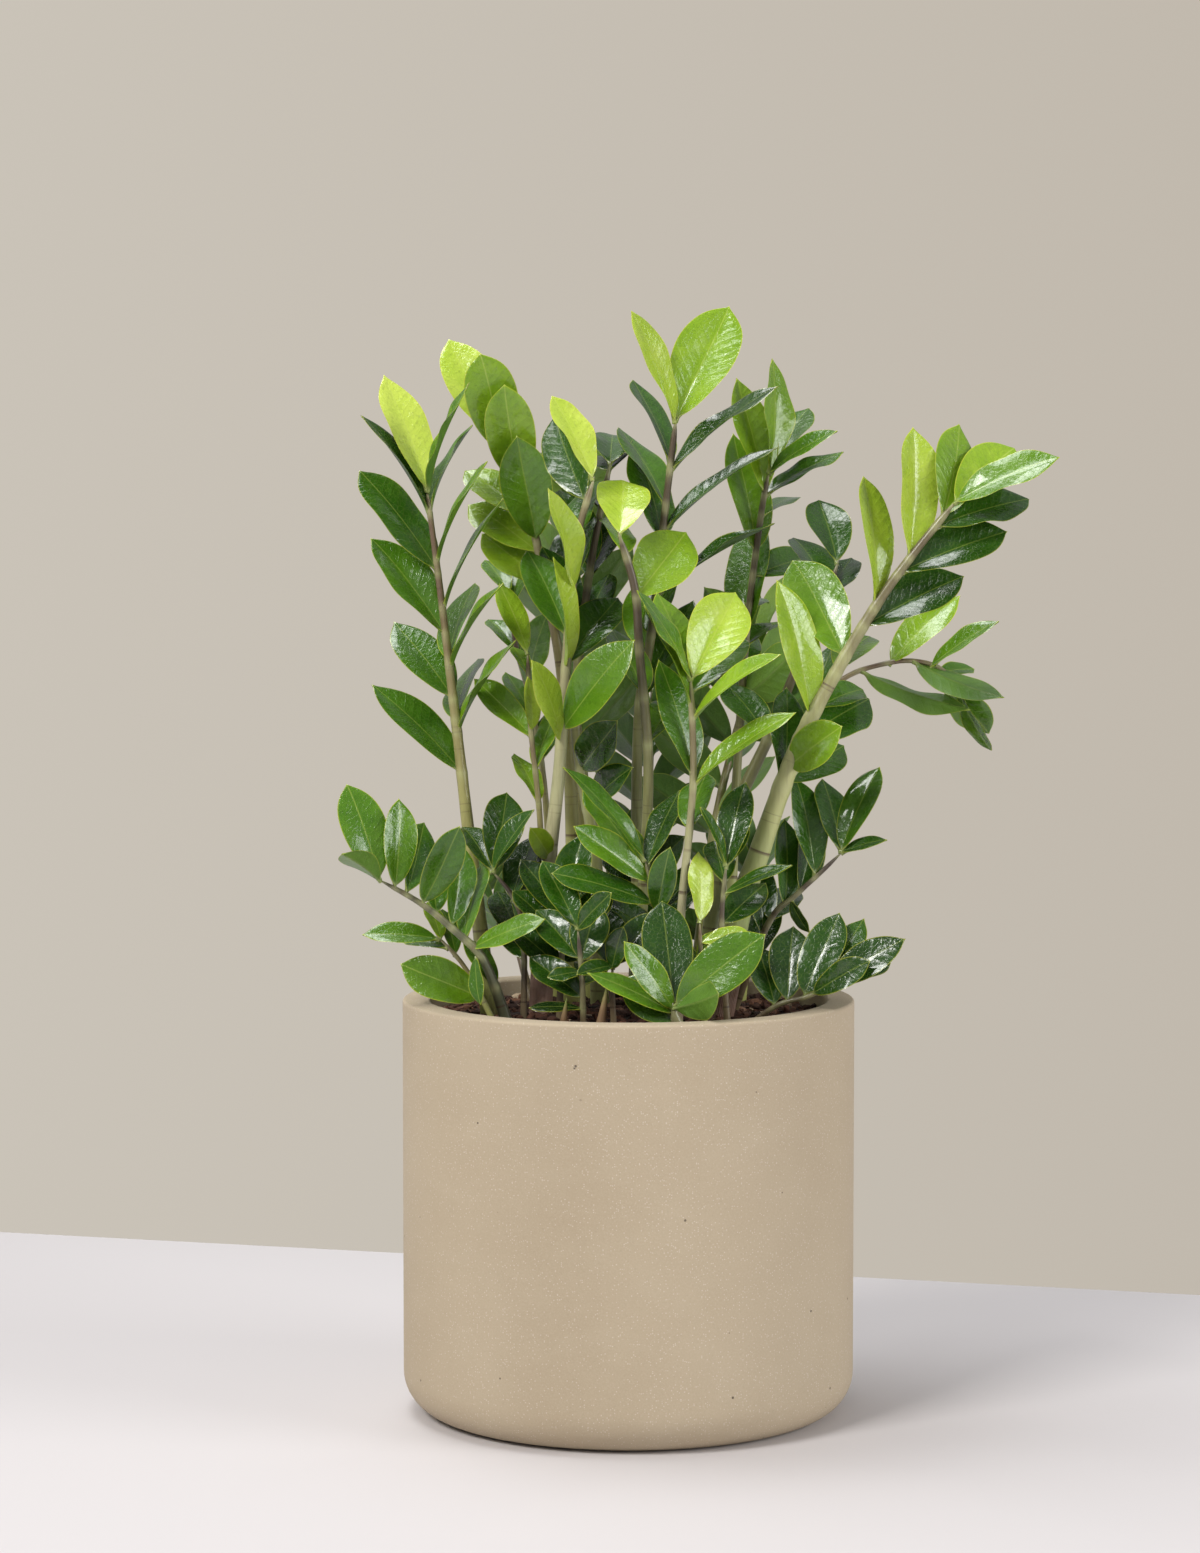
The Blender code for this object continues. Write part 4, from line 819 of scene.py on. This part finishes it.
def surface_normals(middle, upper):
    """Return the unit normals of a grid of points, all on one side of it."""
    normal = np.cross(np.gradient(middle, axis=0), np.gradient(middle, axis=1))
    size = np.linalg.norm(normal, axis=2, keepdims=True)
    normal = np.where(size > 1e-12, normal / np.maximum(size, 1e-12), upper)
    return normal * np.where((normal @ upper)[..., None] < 0, -1.0, 1.0)


def leaf_thickness(H):
    """Return how far a leaflet reaches above and below its middle surface."""
    S, U = LEAF_ALONG, LEAF_ACROSS
    round_edge = np.sqrt(np.clip(1 - np.abs(U) ** 5, 0, 1))
    ridge = np.exp(-(U * H / 0.0011) ** 2)
    neck = NECK_HALF_WIDTH * (1 - S) ** NECK_FADE
    across_neck = np.sqrt(np.clip(1 - U ** 2, 0, 1))
    above = 0.00032 * round_edge + 0.00022 * ridge + 0.6 * neck * across_neck
    below = 0.00034 * round_edge + 0.00065 * ridge * (1 - 0.6 * S) + 0.9 * neck * across_neck
    return above[..., None], below[..., None]


def add_leaf(build, base, leaf, facing, tone, fold, rng):
    """One leaflet: a thin folded blade with two faces, a keel under the midrib and a soft wave."""
    along, across, upper = (np.array(axis) for axis in leaf_axes(leaf, facing))
    length = leaf.length * MM
    side, rise, H = leaf_surface(length, leaf.width * MM, fold, rng)
    S, U = (np.broadcast_to(stations, side.shape) for stations in (LEAF_ALONG, LEAF_ACROSS))
    middle = (np.array(base) + (S * length)[..., None] * along + side[..., None] * across
              + rise[..., None] * upper)
    normal = surface_normals(middle, upper)
    above, below = leaf_thickness(H)
    top, low = middle + normal * above, middle - normal * below
    tip = middle[-1, LEAF_SPANS // 2][None, :]
    from_rib, to_side = np.abs(U) * H, (1 - np.abs(U)) * H

    def spread(grid):
        return np.concatenate([grid[:-1].reshape(-1), grid[:-1, 1:-1].reshape(-1), grid[-1, :1]])

    build.add(np.concatenate([top[:-1].reshape(-1, 3), low[:-1, 1:-1].reshape(-1, 3), tip]), LEAF_FACES,
              {"rib": spread(from_rib), "edge": spread(np.minimum(to_side, (1 - S) * length)),
               "vein": spread((S * length - 0.75 * from_rib) / VEIN_PITCH), "share": spread(S), "tone": tone},
              {"under": LEAF_UNDER, "skin": 0}, LEAF_SHARP)


def sweep_tube(line, radii, sides):
    """Return rings of points around a line, turned as little as possible, and their angles."""
    line = np.array([tuple(p) for p in line])
    tangents = np.gradient(line, axis=0)
    tangents /= np.linalg.norm(tangents, axis=1, keepdims=True)
    first = np.cross(tangents[0], (0.0, 1.0, 0.0))
    first /= np.linalg.norm(first)
    normals = [first]
    for tangent in tangents[1:]:
        moved = normals[-1] - tangent * (normals[-1] @ tangent)
        normals.append(moved / np.linalg.norm(moved))
    normals = np.array(normals)
    others = np.cross(tangents, normals)
    angle = np.linspace(0, 2 * np.pi, sides, endpoint=False)
    ring = np.cos(angle)[None, :, None] * normals[:, None] + np.sin(angle)[None, :, None] * others[:, None]
    radii = np.asarray(radii)
    radii = radii[:, None] if radii.ndim == 1 else radii
    return line[:, None] + ring * radii[..., None], angle


def add_stalk(build, frond, route, joints):
    """The stalk: a smooth taper with a slight swelling at each joint and a rounded end."""
    start = Vector(route.fine[0])
    line = [start - Vector((0, 0, 0.004 * k)) for k in (3, 2, 1)]
    total = lengths_along(route.fine)[-1]
    count = max(8, int(total / STALK_STEP))
    distances = [total * i / count for i in range(count + 1)]
    line += [point_along(route.fine, d) for d in distances]
    heights = np.array([0.0, 0.0, 0.0] + distances)
    radii = taper(frond, 1 - heights / total)
    radii = radii + np.exp(-heights / 0.022) * (0.0 if frond.sheath else 0.10) * (frond.thick * MM)
    near = np.zeros_like(heights)
    for joint in joints:
        near = np.maximum(near, np.exp(-((heights - joint) / 0.0035) ** 2))
    radii = radii * (1 + 0.09 * near)
    radii[-4:] = radii[-4:] * np.array([0.92, 0.72, 0.4, 0.12])
    sides = 18 if frond.thick > 4 else 12
    rings, angle = sweep_tube(line, radii, sides)
    wobble = 1 + 0.02 * np.sin(angle[None, :] * 3 + heights[:, None] * 60)
    middle = np.array([tuple(p) for p in line])[:, None]
    rings = middle + (rings - middle) * wobble[..., None]
    build.add(rings.reshape(-1, 3), tube_faces(len(line), sides),
              {"climb": np.repeat(heights / total, sides), "level": np.repeat(heights, sides),
               "joint": np.repeat(near, sides)}, {"under": 0.0, "skin": 1})


def make_frond(frond, number, leaf_skin, stalk_skin):
    """The looks of one frond, in place of its CAD node."""
    rng = np.random.default_rng(4000 + number)
    route = Route(frond)
    build = Build()
    tones = FROND_TONES[frond.name][0]
    joints = []
    for row, base, leaf in standing_leaves(frond, route):
        joints.append(route.joint_distance(leaf.at))
        # The tone holds painted shade as well as each leaflet's own colour: low leaflets are darker for the
        # shade under the crown.
        tone = 0.04 + 0.103 * int(tones[row]) + rng.uniform(-0.04, 0.04)
        fold = DEEP_FOLDS.get((frond.name, row))
        add_leaf(build, base, leaf, frond.facing, tone, fold, rng)
    add_stalk(build, frond, route, joints)
    item = build.object(frond.name + "_fine", [leaf_skin, stalk_skin])
    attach(item, "root")
    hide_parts(frond.name)


# The tone of each leaflet in the order of its frond's rows, from 0 dark to 9 new, and the skin of
# the frond's stalk. A tone is partly the leaflet's own colour and partly painted shade: the low
# fronds' leaflets are darker for the shade under the plant's crown.
FROND_TONES = {
    "frond_front_centre": ("845536643", "pink"), "frond_rim_front": ("144443", "brown"),
    "frond_spoon": ("865444", "olive"), "frond_right_thick": ("5768857211532623", "pale"),
    "frond_top_centre": ("6821213333", "olive"), "frond_left_tall": ("94253535351444", "green"),
    "frond_centre_left": ("98848133337", "pink"), "frond_low_left": ("44433344334", "dusky"),
    "frond_low_centre": ("34421222", "brown"), "frond_low_right": ("3222111111", "brown"),
    "frond_rim_right": ("1211111", "brown"), "frond_back_right": ("665343333353333", "olive"),
    "frond_back_left_fan": ("8666477733", "green"), "frond_low_left_inner": ("1211111", "brown"),
    "frond_low_left_thin": ("45644", "green"), "frond_low_bright": ("8755", "green"),
    "frond_mid_right": ("221211", "brown"), "frond_low_middle": ("2121111", "brown"),
    "frond_low_dark": ("21111011", "brown"), "frond_low_inner": ("1111", "brown"),
    "frond_right_inner": ("2222", "olive"), "frond_right_arching": ("644544433", "green"),
    "frond_centre_dark": ("122121112", "olive"), "frond_left_thin": ("785556", "green"),
    "frond_back_left_small": ("444443", "green"), "frond_back_tall": ("76666554444", "green"),
    "frond_back_middle": ("55544433333", "brown"), "frond_back_outer": ("66555544443", "green"),
    "frond_low_back": ("211111111", "brown"), "frond_back_low_left": ("332222222", "brown"),
    "frond_back_low_right": ("332222222", "brown"),
}
BAND_BROWN = (0.085, 0.045, 0.026)
# A stalk skin: its colour at the foot, in the middle and at the top, between which shares of its
# height the ring bands lie, and the bands' colour.
STALK_SKINS = {
    "pale": ((0.24, 0.33, 0.08), (0.50, 0.50, 0.22), (0.16, 0.13, 0.07), (0.26, 0.60), BAND_BROWN),
    "pink": ((0.50, 0.40, 0.27), (0.46, 0.45, 0.24), (0.20, 0.16, 0.08), (0.12, 0.45), BAND_BROWN),
    "green": ((0.40, 0.42, 0.13), (0.36, 0.33, 0.12), (0.17, 0.11, 0.07), (0.10, 0.9), BAND_BROWN),
    "olive": ((0.46, 0.50, 0.20), (0.24, 0.24, 0.09), (0.095, 0.070, 0.042), (0.05, 0.5), BAND_BROWN),
    "dusky": ((0.12, 0.13, 0.07), (0.085, 0.095, 0.05), (0.070, 0.060, 0.035), (0.1, 0.9), BAND_BROWN),
    "brown": ((0.20, 0.15, 0.08), (0.12, 0.085, 0.05), (0.070, 0.050, 0.034), (0.1, 0.9),
              (0.04, 0.022, 0.014)),
}
# The fold, in degrees, of the leaflets that are creased most, by frond and row.
DEEP_FOLDS = {("frond_top_centre", 0): 34, ("frond_front_centre", 0): 30, ("frond_spoon", 0): 24,
              ("frond_right_thick", 3): 30, ("frond_left_tall", 0): 26}


def arc(centre, radius, start, end, steps):
    """Return points on an arc in the profile plane, as (radius, height) pairs."""
    angles = np.radians(np.linspace(start, end, steps + 1))
    return [(centre[0] + radius * math.cos(a), centre[1] + radius * math.sin(a)) for a in angles]


def turned(name, profile, steps):
    """Turn a profile of (radius, height) pairs into a closed mesh with poles on the axis."""
    shape = bmesh.new()
    previous = None
    for radius, height in profile:
        if radius < 1e-7:
            ring = [shape.verts.new((0.0, 0.0, height))]
        else:
            ring = [shape.verts.new((radius * math.cos(a), radius * math.sin(a), height))
                    for a in np.linspace(0, 2 * math.pi, steps, endpoint=False)]
        if previous:
            for j in range(steps):
                k = (j + 1) % steps
                corners = [previous[j % len(previous)], previous[k % len(previous)],
                           ring[k % len(ring)], ring[j % len(ring)]]
                shape.faces.new(list(dict.fromkeys(corners)))
        previous = ring
    bmesh.ops.recalc_face_normals(shape, faces=shape.faces)
    mesh = bpy.data.meshes.new(name)
    shape.to_mesh(mesh)
    shape.free()
    item = bpy.data.objects.new(name, mesh)
    bpy.context.scene.collection.objects.link(item)
    return item


def make_pot():
    """The planter: the CAD model's profile, turned finely, with its drain holes."""
    lip, foot, floor = POT_LIP_ROUND, POT_FOOT_ROUND, POT_FLOOR
    profile = [(0.0, floor), (0.06, floor), (POT_INNER - 0.003, floor)]
    profile += arc((POT_INNER - 0.003, floor + 0.003), 0.003, -90, 0, 3)
    profile += [(POT_INNER, z) for z in np.linspace(0.06, POT_HEIGHT - 0.012, 5)]
    profile += arc((POT_INNER + lip, POT_HEIGHT - lip), lip, 180, 90, 6)
    profile += [((POT_INNER + POT_RADIUS) / 2, POT_HEIGHT)]
    profile += arc((POT_RADIUS - lip, POT_HEIGHT - lip), lip, 90, 0, 6)
    profile += [(POT_RADIUS, z) for z in np.linspace(POT_HEIGHT - 0.012, foot + 0.01, 9)]
    profile += arc((POT_RADIUS - foot, foot), foot, 0, -90, 14)
    profile += [(0.06, 0.0), (0.0, 0.0)]
    pot = turned("pot_fine", profile, 160)
    bit = [(0.0, -0.02), (DRAIN_RADIUS, -0.02), (DRAIN_RADIUS, 0.05), (0.0, 0.05)]
    for number in range(DRAIN_COUNT):
        angle = 2 * math.pi * (number + 0.25) / DRAIN_COUNT
        drill = turned(f"drill_{number}", bit, 32)
        drill.location = (DRAIN_CIRCLE_RADIUS * math.cos(angle), DRAIN_CIRCLE_RADIUS * math.sin(angle), 0.0)
        step = pot.modifiers.new("Drain", 'BOOLEAN')
        step.solver = 'EXACT'
        step.object = drill
    bpy.context.view_layer.update()
    drilled = bpy.data.meshes.new_from_object(pot.evaluated_get(bpy.context.evaluated_depsgraph_get()))
    pot.modifiers.clear()
    pot.data = drilled
    for number in range(DRAIN_COUNT):
        bpy.data.objects.remove(bpy.data.objects[f"drill_{number}"])
    drilled.materials.clear()
    drilled.materials.append(stone_material())
    drilled.polygons.foreach_set("use_smooth", np.ones(len(drilled.polygons), bool))
    drilled.set_sharp_from_angle(angle=math.radians(40))
    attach(pot, "root")
    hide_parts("pot")


def waves(x, y, rng, scale, count=10):
    """Return a smooth random height at points, from a sum of waves."""
    total = np.zeros_like(x)
    for _ in range(count):
        angle, phase = rng.uniform(0, 2 * math.pi, 2)
        pitch = scale * rng.uniform(0.6, 1.8)
        total += np.sin((x * math.cos(angle) + y * math.sin(angle)) * 2 * math.pi / pitch + phase)
    return total / count


def bed_height(x, y):
    """Return the height of the lumpy bed of potting mix at points."""
    rng = np.random.default_rng(5)
    dome = SOIL_CROWN * (1 - (x ** 2 + y ** 2) / (POT_INNER - GAP) ** 2)
    lumps = 0.0016 * waves(x, y, rng, 0.05) * 2
    return SOIL_LEVEL - 0.0012 + dome + lumps + 0.0008 * waves(x, y, rng, 0.012) * 2


def add_bed(build, radius):
    """The bed: rings of points on its top, a wall and a flat underside."""
    sides, rings, underside = SOIL_SIDES, SOIL_RINGS, POT_FLOOR + GAP
    angle = np.linspace(0, 2 * np.pi, sides, endpoint=False)
    shares = np.linspace(0.0, 1.0, rings + 1)[1:]
    x = radius * shares[:, None] * np.cos(angle)
    y = radius * shares[:, None] * np.sin(angle)
    points = np.stack([x, y, bed_height(x, y)], axis=2).reshape(-1, 3)
    wall = np.stack([radius * np.cos(angle), radius * np.sin(angle), np.full(sides, underside)], axis=1)
    centre = [[0, 0, float(bed_height(np.array(0.0), np.array(0.0)))], [0, 0, underside]]
    faces = ring_faces(rings + 1, sides)
    top, foot = rings * sides + sides, rings * sides + sides + 1
    for j in range(sides):
        k = (j + 1) % sides
        faces.append((top, j, k))
        faces.append((foot, rings * sides + k, rings * sides + j))
    build.add(np.concatenate([points, wall, centre]), faces, {"tone": 0.12}, {"skin": 0})


def add_chips(build, radius):
    """Loose chips of bark: blocky, stretched and turned at random, a few of them pale."""
    rng = np.random.default_rng(77)
    ball = bmesh.new()
    bmesh.ops.create_icosphere(ball, subdivisions=1, radius=1.0)
    unit = np.array([tuple(v.co) for v in ball.verts])
    ball_faces = [tuple(v.index for v in f.verts) for f in ball.faces]
    ball.free()
    for _ in range(CHIP_COUNT):
        r = (radius - 0.004) * math.sqrt(rng.uniform())
        a = rng.uniform(0, 2 * math.pi)
        size = 0.0011 + 0.0042 * rng.uniform() ** 2.6
        shape = unit * (1 + rng.uniform(-0.25, 0.25, (len(unit), 1)))
        shape = np.sign(shape) * np.abs(shape) ** 0.8
        shape = shape * (size * rng.uniform(0.9, 1.7), size * rng.uniform(0.5, 0.9),
                         size * rng.uniform(0.3, 0.55))
        turn = (Quaternion((0, 0, 1), rng.uniform(0, 6.28)) @ Quaternion((1, 0, 0), rng.normal(0, 0.45))
                @ Quaternion((0, 1, 0), rng.normal(0, 0.35)))
        shape = shape @ np.array(turn.to_matrix()).T
        x, y = r * math.cos(a), r * math.sin(a)
        z = float(bed_height(np.array(x), np.array(y))) + size * rng.uniform(0.0, 0.5)
        tone = min(1.0, max(0.0, rng.normal(0.48, 0.20)))
        if rng.uniform() < 0.035:
            tone = rng.uniform(0.88, 1.0)
        build.add(shape + (x, y, z), ball_faces, {"tone": tone}, {"skin": 0})


def make_soil():
    """The potting mix: a lumpy bed under loose chips of bark."""
    build = Build()
    radius = POT_INNER - GAP
    add_bed(build, radius)
    add_chips(build, radius)
    item = build.object("potting_mix_fine", [bark_material()])
    item.data.polygons.foreach_set("use_smooth", np.zeros(len(item.data.polygons), bool))
    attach(item, "root")
    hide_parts("potting_mix")


def make_sheath(frond, number, skin):
    """A dry sheath around a stalk's foot, with a torn upper edge."""
    rng = np.random.default_rng(900 + number)
    route = Route(frond)
    height = frond.sheath * MM
    sides, rows = SHEATH_SIDES, SHEATH_ROWS
    angle = np.linspace(0, 2 * np.pi, sides, endpoint=False)
    ragged = np.zeros(sides)
    for k in (1, 2, 3, 5, 9, 14):
        ragged += rng.uniform(0.2, 1.0) / k ** 0.6 * np.sin(k * angle + rng.uniform(0, 6.28))
    ragged = (ragged - ragged.min()) / (ragged.max() - ragged.min())
    tops = height * (1.0 - 0.32 * ragged)
    climbs = [height * k / SHEATH_STEPS for k in range(SHEATH_STEPS + 1)]
    line = [route.fine[0] - Vector((0, 0, SHEATH_SUNK))] + [point_along(route.fine, d) for d in climbs]
    sums = np.array([-SHEATH_SUNK] + climbs)
    wave = 0.00022 * np.sin(13 * angle)[None, :] + 0.0003 * np.sin(3 * angle + 1)[None, :]
    flare = 0.0010 * np.clip(sums[:, None] / height, 0, 1) ** 4

    def skin_rows(offset, shares):
        stalk = taper(frond, np.clip(1 - sums / route.length, 0, 1))
        rings, _ = sweep_tube(line, stalk[:, None] + offset + wave + flare, sides)
        out = []
        for share in shares:
            at = -SHEATH_SUNK + share * (tops + SHEATH_SUNK)
            place = np.empty((sides, 3))
            for axis in range(3):
                for j in range(sides):
                    place[j, axis] = np.interp(at[j], sums, rings[:, j, axis])
            out.append(place)
        return out

    shares = np.linspace(0, 1, rows)
    points = np.concatenate(skin_rows(0.0014, shares) + skin_rows(0.0005, shares[::-1]))
    faces = [tuple(reversed(face)) for face in ring_faces(2 * rows, sides)]
    last = (2 * rows - 1) * sides
    faces += [(j, (j + 1) % sides, last + (j + 1) % sides, last + j) for j in range(sides)]
    climb = np.concatenate([np.repeat(shares, sides), np.repeat(shares[::-1], sides)])
    around = np.tile(np.abs(angle - np.pi), 2 * rows)
    build = Build()
    build.add(points, faces, {"climb": climb, "around": around}, {"skin": 0})
    name = frond.name.replace("frond", "sheath")
    item = build.object(name + "_fine", [skin])
    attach(item, "root")
    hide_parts(name)


def make_shoot(shoot, skin):
    """A new frond still rolled up, with overlapping scales at its foot."""
    foot = Vector((shoot.foot[0] * MM, shoot.foot[1] * MM, SOIL_LEVEL))
    tip = Vector(shoot.tip) * MM
    rows, sides = 30, 20
    shares = np.linspace(0, 1, rows)
    line = [foot - Vector((0, 0, 0.006))] + [foot.lerp(tip, s) for s in shares]
    steps = np.concatenate([[0.0], shares])
    radii = shoot.radius * MM * (1.06 - steps ** 1.6)
    radii = radii * (1 + 0.10 * np.maximum(0, np.sin(steps * 9.5)) * (steps < 0.72))
    rings, _ = sweep_tube(line, radii, sides)
    build = Build()
    build.add(rings.reshape(-1, 3), tube_faces(rows + 1, sides), {"climb": np.repeat(steps, sides)},
              {"skin": 0})
    item = build.object(shoot.name + "_fine", [skin])
    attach(item, "root")
    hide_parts(shoot.name)


# ---------------------------------------------------------------- floor, light and camera

def area_light(name, place, aim, size, power, colour=(1.0, 1.0, 1.0)):
    """A soft rectangular light that looks at a point."""
    light = bpy.data.lights.new(name, 'AREA')
    light.shape = 'RECTANGLE'
    light.size, light.size_y = size
    light.energy = power
    light.color = colour
    item = bpy.data.objects.new(name, light)
    item.location = place
    item.rotation_euler = (Vector(aim) - Vector(place)).to_track_quat('-Z', 'Y').to_euler()
    bpy.context.scene.collection.objects.link(item)


def make_floor():
    """A plain pale floor; its back edge runs slightly askew behind the planter."""
    shape = bmesh.new()
    face = shape.faces.new([shape.verts.new((x, y, 0.0)) for x, y in FLOOR_OUTLINE])
    extruded = bmesh.ops.extrude_face_region(shape, geom=[face])
    for item in extruded["geom"]:
        if isinstance(item, bmesh.types.BMVert):
            item.co.z = -FLOOR_THICK
    bmesh.ops.recalc_face_normals(shape, faces=shape.faces)
    mesh = bpy.data.meshes.new("floor")
    shape.to_mesh(mesh)
    shape.free()
    floor = bpy.data.objects.new("floor", mesh)
    bpy.context.scene.collection.objects.link(floor)
    mesh.materials.append(Graph("pale_floor").finish(Base_Color=FLOOR_COLOUR, Roughness=0.7))


def make_world():
    """A wall behind the plant, painted lighter on the left and darker on the right as the light falls, and a
    soft sky for the light.
    """
    world = bpy.data.worlds.new("studio")
    bpy.context.scene.world = world
    world.use_nodes = True
    tree = world.node_tree
    tree.nodes.clear()
    kinds = ("OutputWorld", "Background", "Background", "MixShader", "LightPath", "ValToRGB", "TexCoord",
             "SeparateXYZ", "Math")
    out, wall, sky, pick, path, ramp, place, split, half = (tree.nodes.new("ShaderNode" + k) for k in kinds)
    # Painted light: the wall runs from the lighter left colour to the darker right colour across the view.
    for mark, position, colour in zip(ramp.color_ramp.elements, (0.42, 0.58), (WALL_LEFT, WALL_RIGHT)):
        mark.position = position
        mark.color = (*colour, 1.0)
    half.operation = 'MULTIPLY_ADD'
    half.inputs[1].default_value = 0.5
    half.inputs[2].default_value = 0.5
    sky.inputs["Color"].default_value = (*SKY_COLOUR, 1.0)
    sky.inputs["Strength"].default_value = SKY_STRENGTH
    for start, end in ((place.outputs["Generated"], split.inputs[0]), (split.outputs[0], half.inputs[0]),
                       (half.outputs[0], ramp.inputs[0]), (ramp.outputs[0], wall.inputs["Color"]),
                       (path.outputs["Is Camera Ray"], pick.inputs[0]), (sky.outputs[0], pick.inputs[1]),
                       (wall.outputs[0], pick.inputs[2]), (pick.outputs[0], out.inputs["Surface"])):
        tree.links.new(start, end)


def make_colours():
    """Show colours as they are, without a film look."""
    view = bpy.context.scene.view_settings
    view.view_transform = 'Standard'
    view.look = 'None'
    view.exposure = 0.0
    view.gamma = 1.0


def make_camera():
    """The photograph's viewpoint: 2.6 m in front, slightly above the plant's middle."""
    data = bpy.data.cameras.new("camera")
    data.lens = CAMERA_LENS
    data.sensor_width = CAMERA_SENSOR
    camera = bpy.data.objects.new("camera", data)
    camera.location = CAMERA_PLACE
    camera.rotation_euler = (math.radians(90 - CAMERA_PITCH), 0.0, 0.0)
    bpy.context.scene.collection.objects.link(camera)
    bpy.context.scene.camera = camera


def main():
    skins = {name: leaf_material(name + "_fine") for name in ("leaf_dark", "leaf_mid", "leaf_new")}
    stalks = {name: stalk_material("stalk_" + name, *skin) for name, skin in STALK_SKINS.items()}
    make_pot()
    make_soil()
    sheath_skin, shoot_skin = sheath_material(), shoot_material()
    for number, frond in enumerate(FRONDS):
        make_frond(frond, number, skins[frond.skin], stalks[FROND_TONES[frond.name][1]])
        if frond.sheath:
            make_sheath(frond, number, sheath_skin)
    for shoot in SHOOTS:
        make_shoot(shoot, shoot_skin)
    make_floor()
    make_world()
    area_light("key", (-2.1, -2.4, 2.9), (0.0, 0.0, 0.40), (1.3, 1.1), 118.0, (1.0, 0.985, 0.96))
    area_light("fill", (2.9, -1.3, 1.3), (0.1, 0.0, 0.15), (1.6, 1.6), 56.0)
    area_light("top", (-0.6, 0.4, 2.6), (0.0, 0.0, 0.4), (1.4, 1.0), 34.0)
    make_colours()
    make_camera()


main()
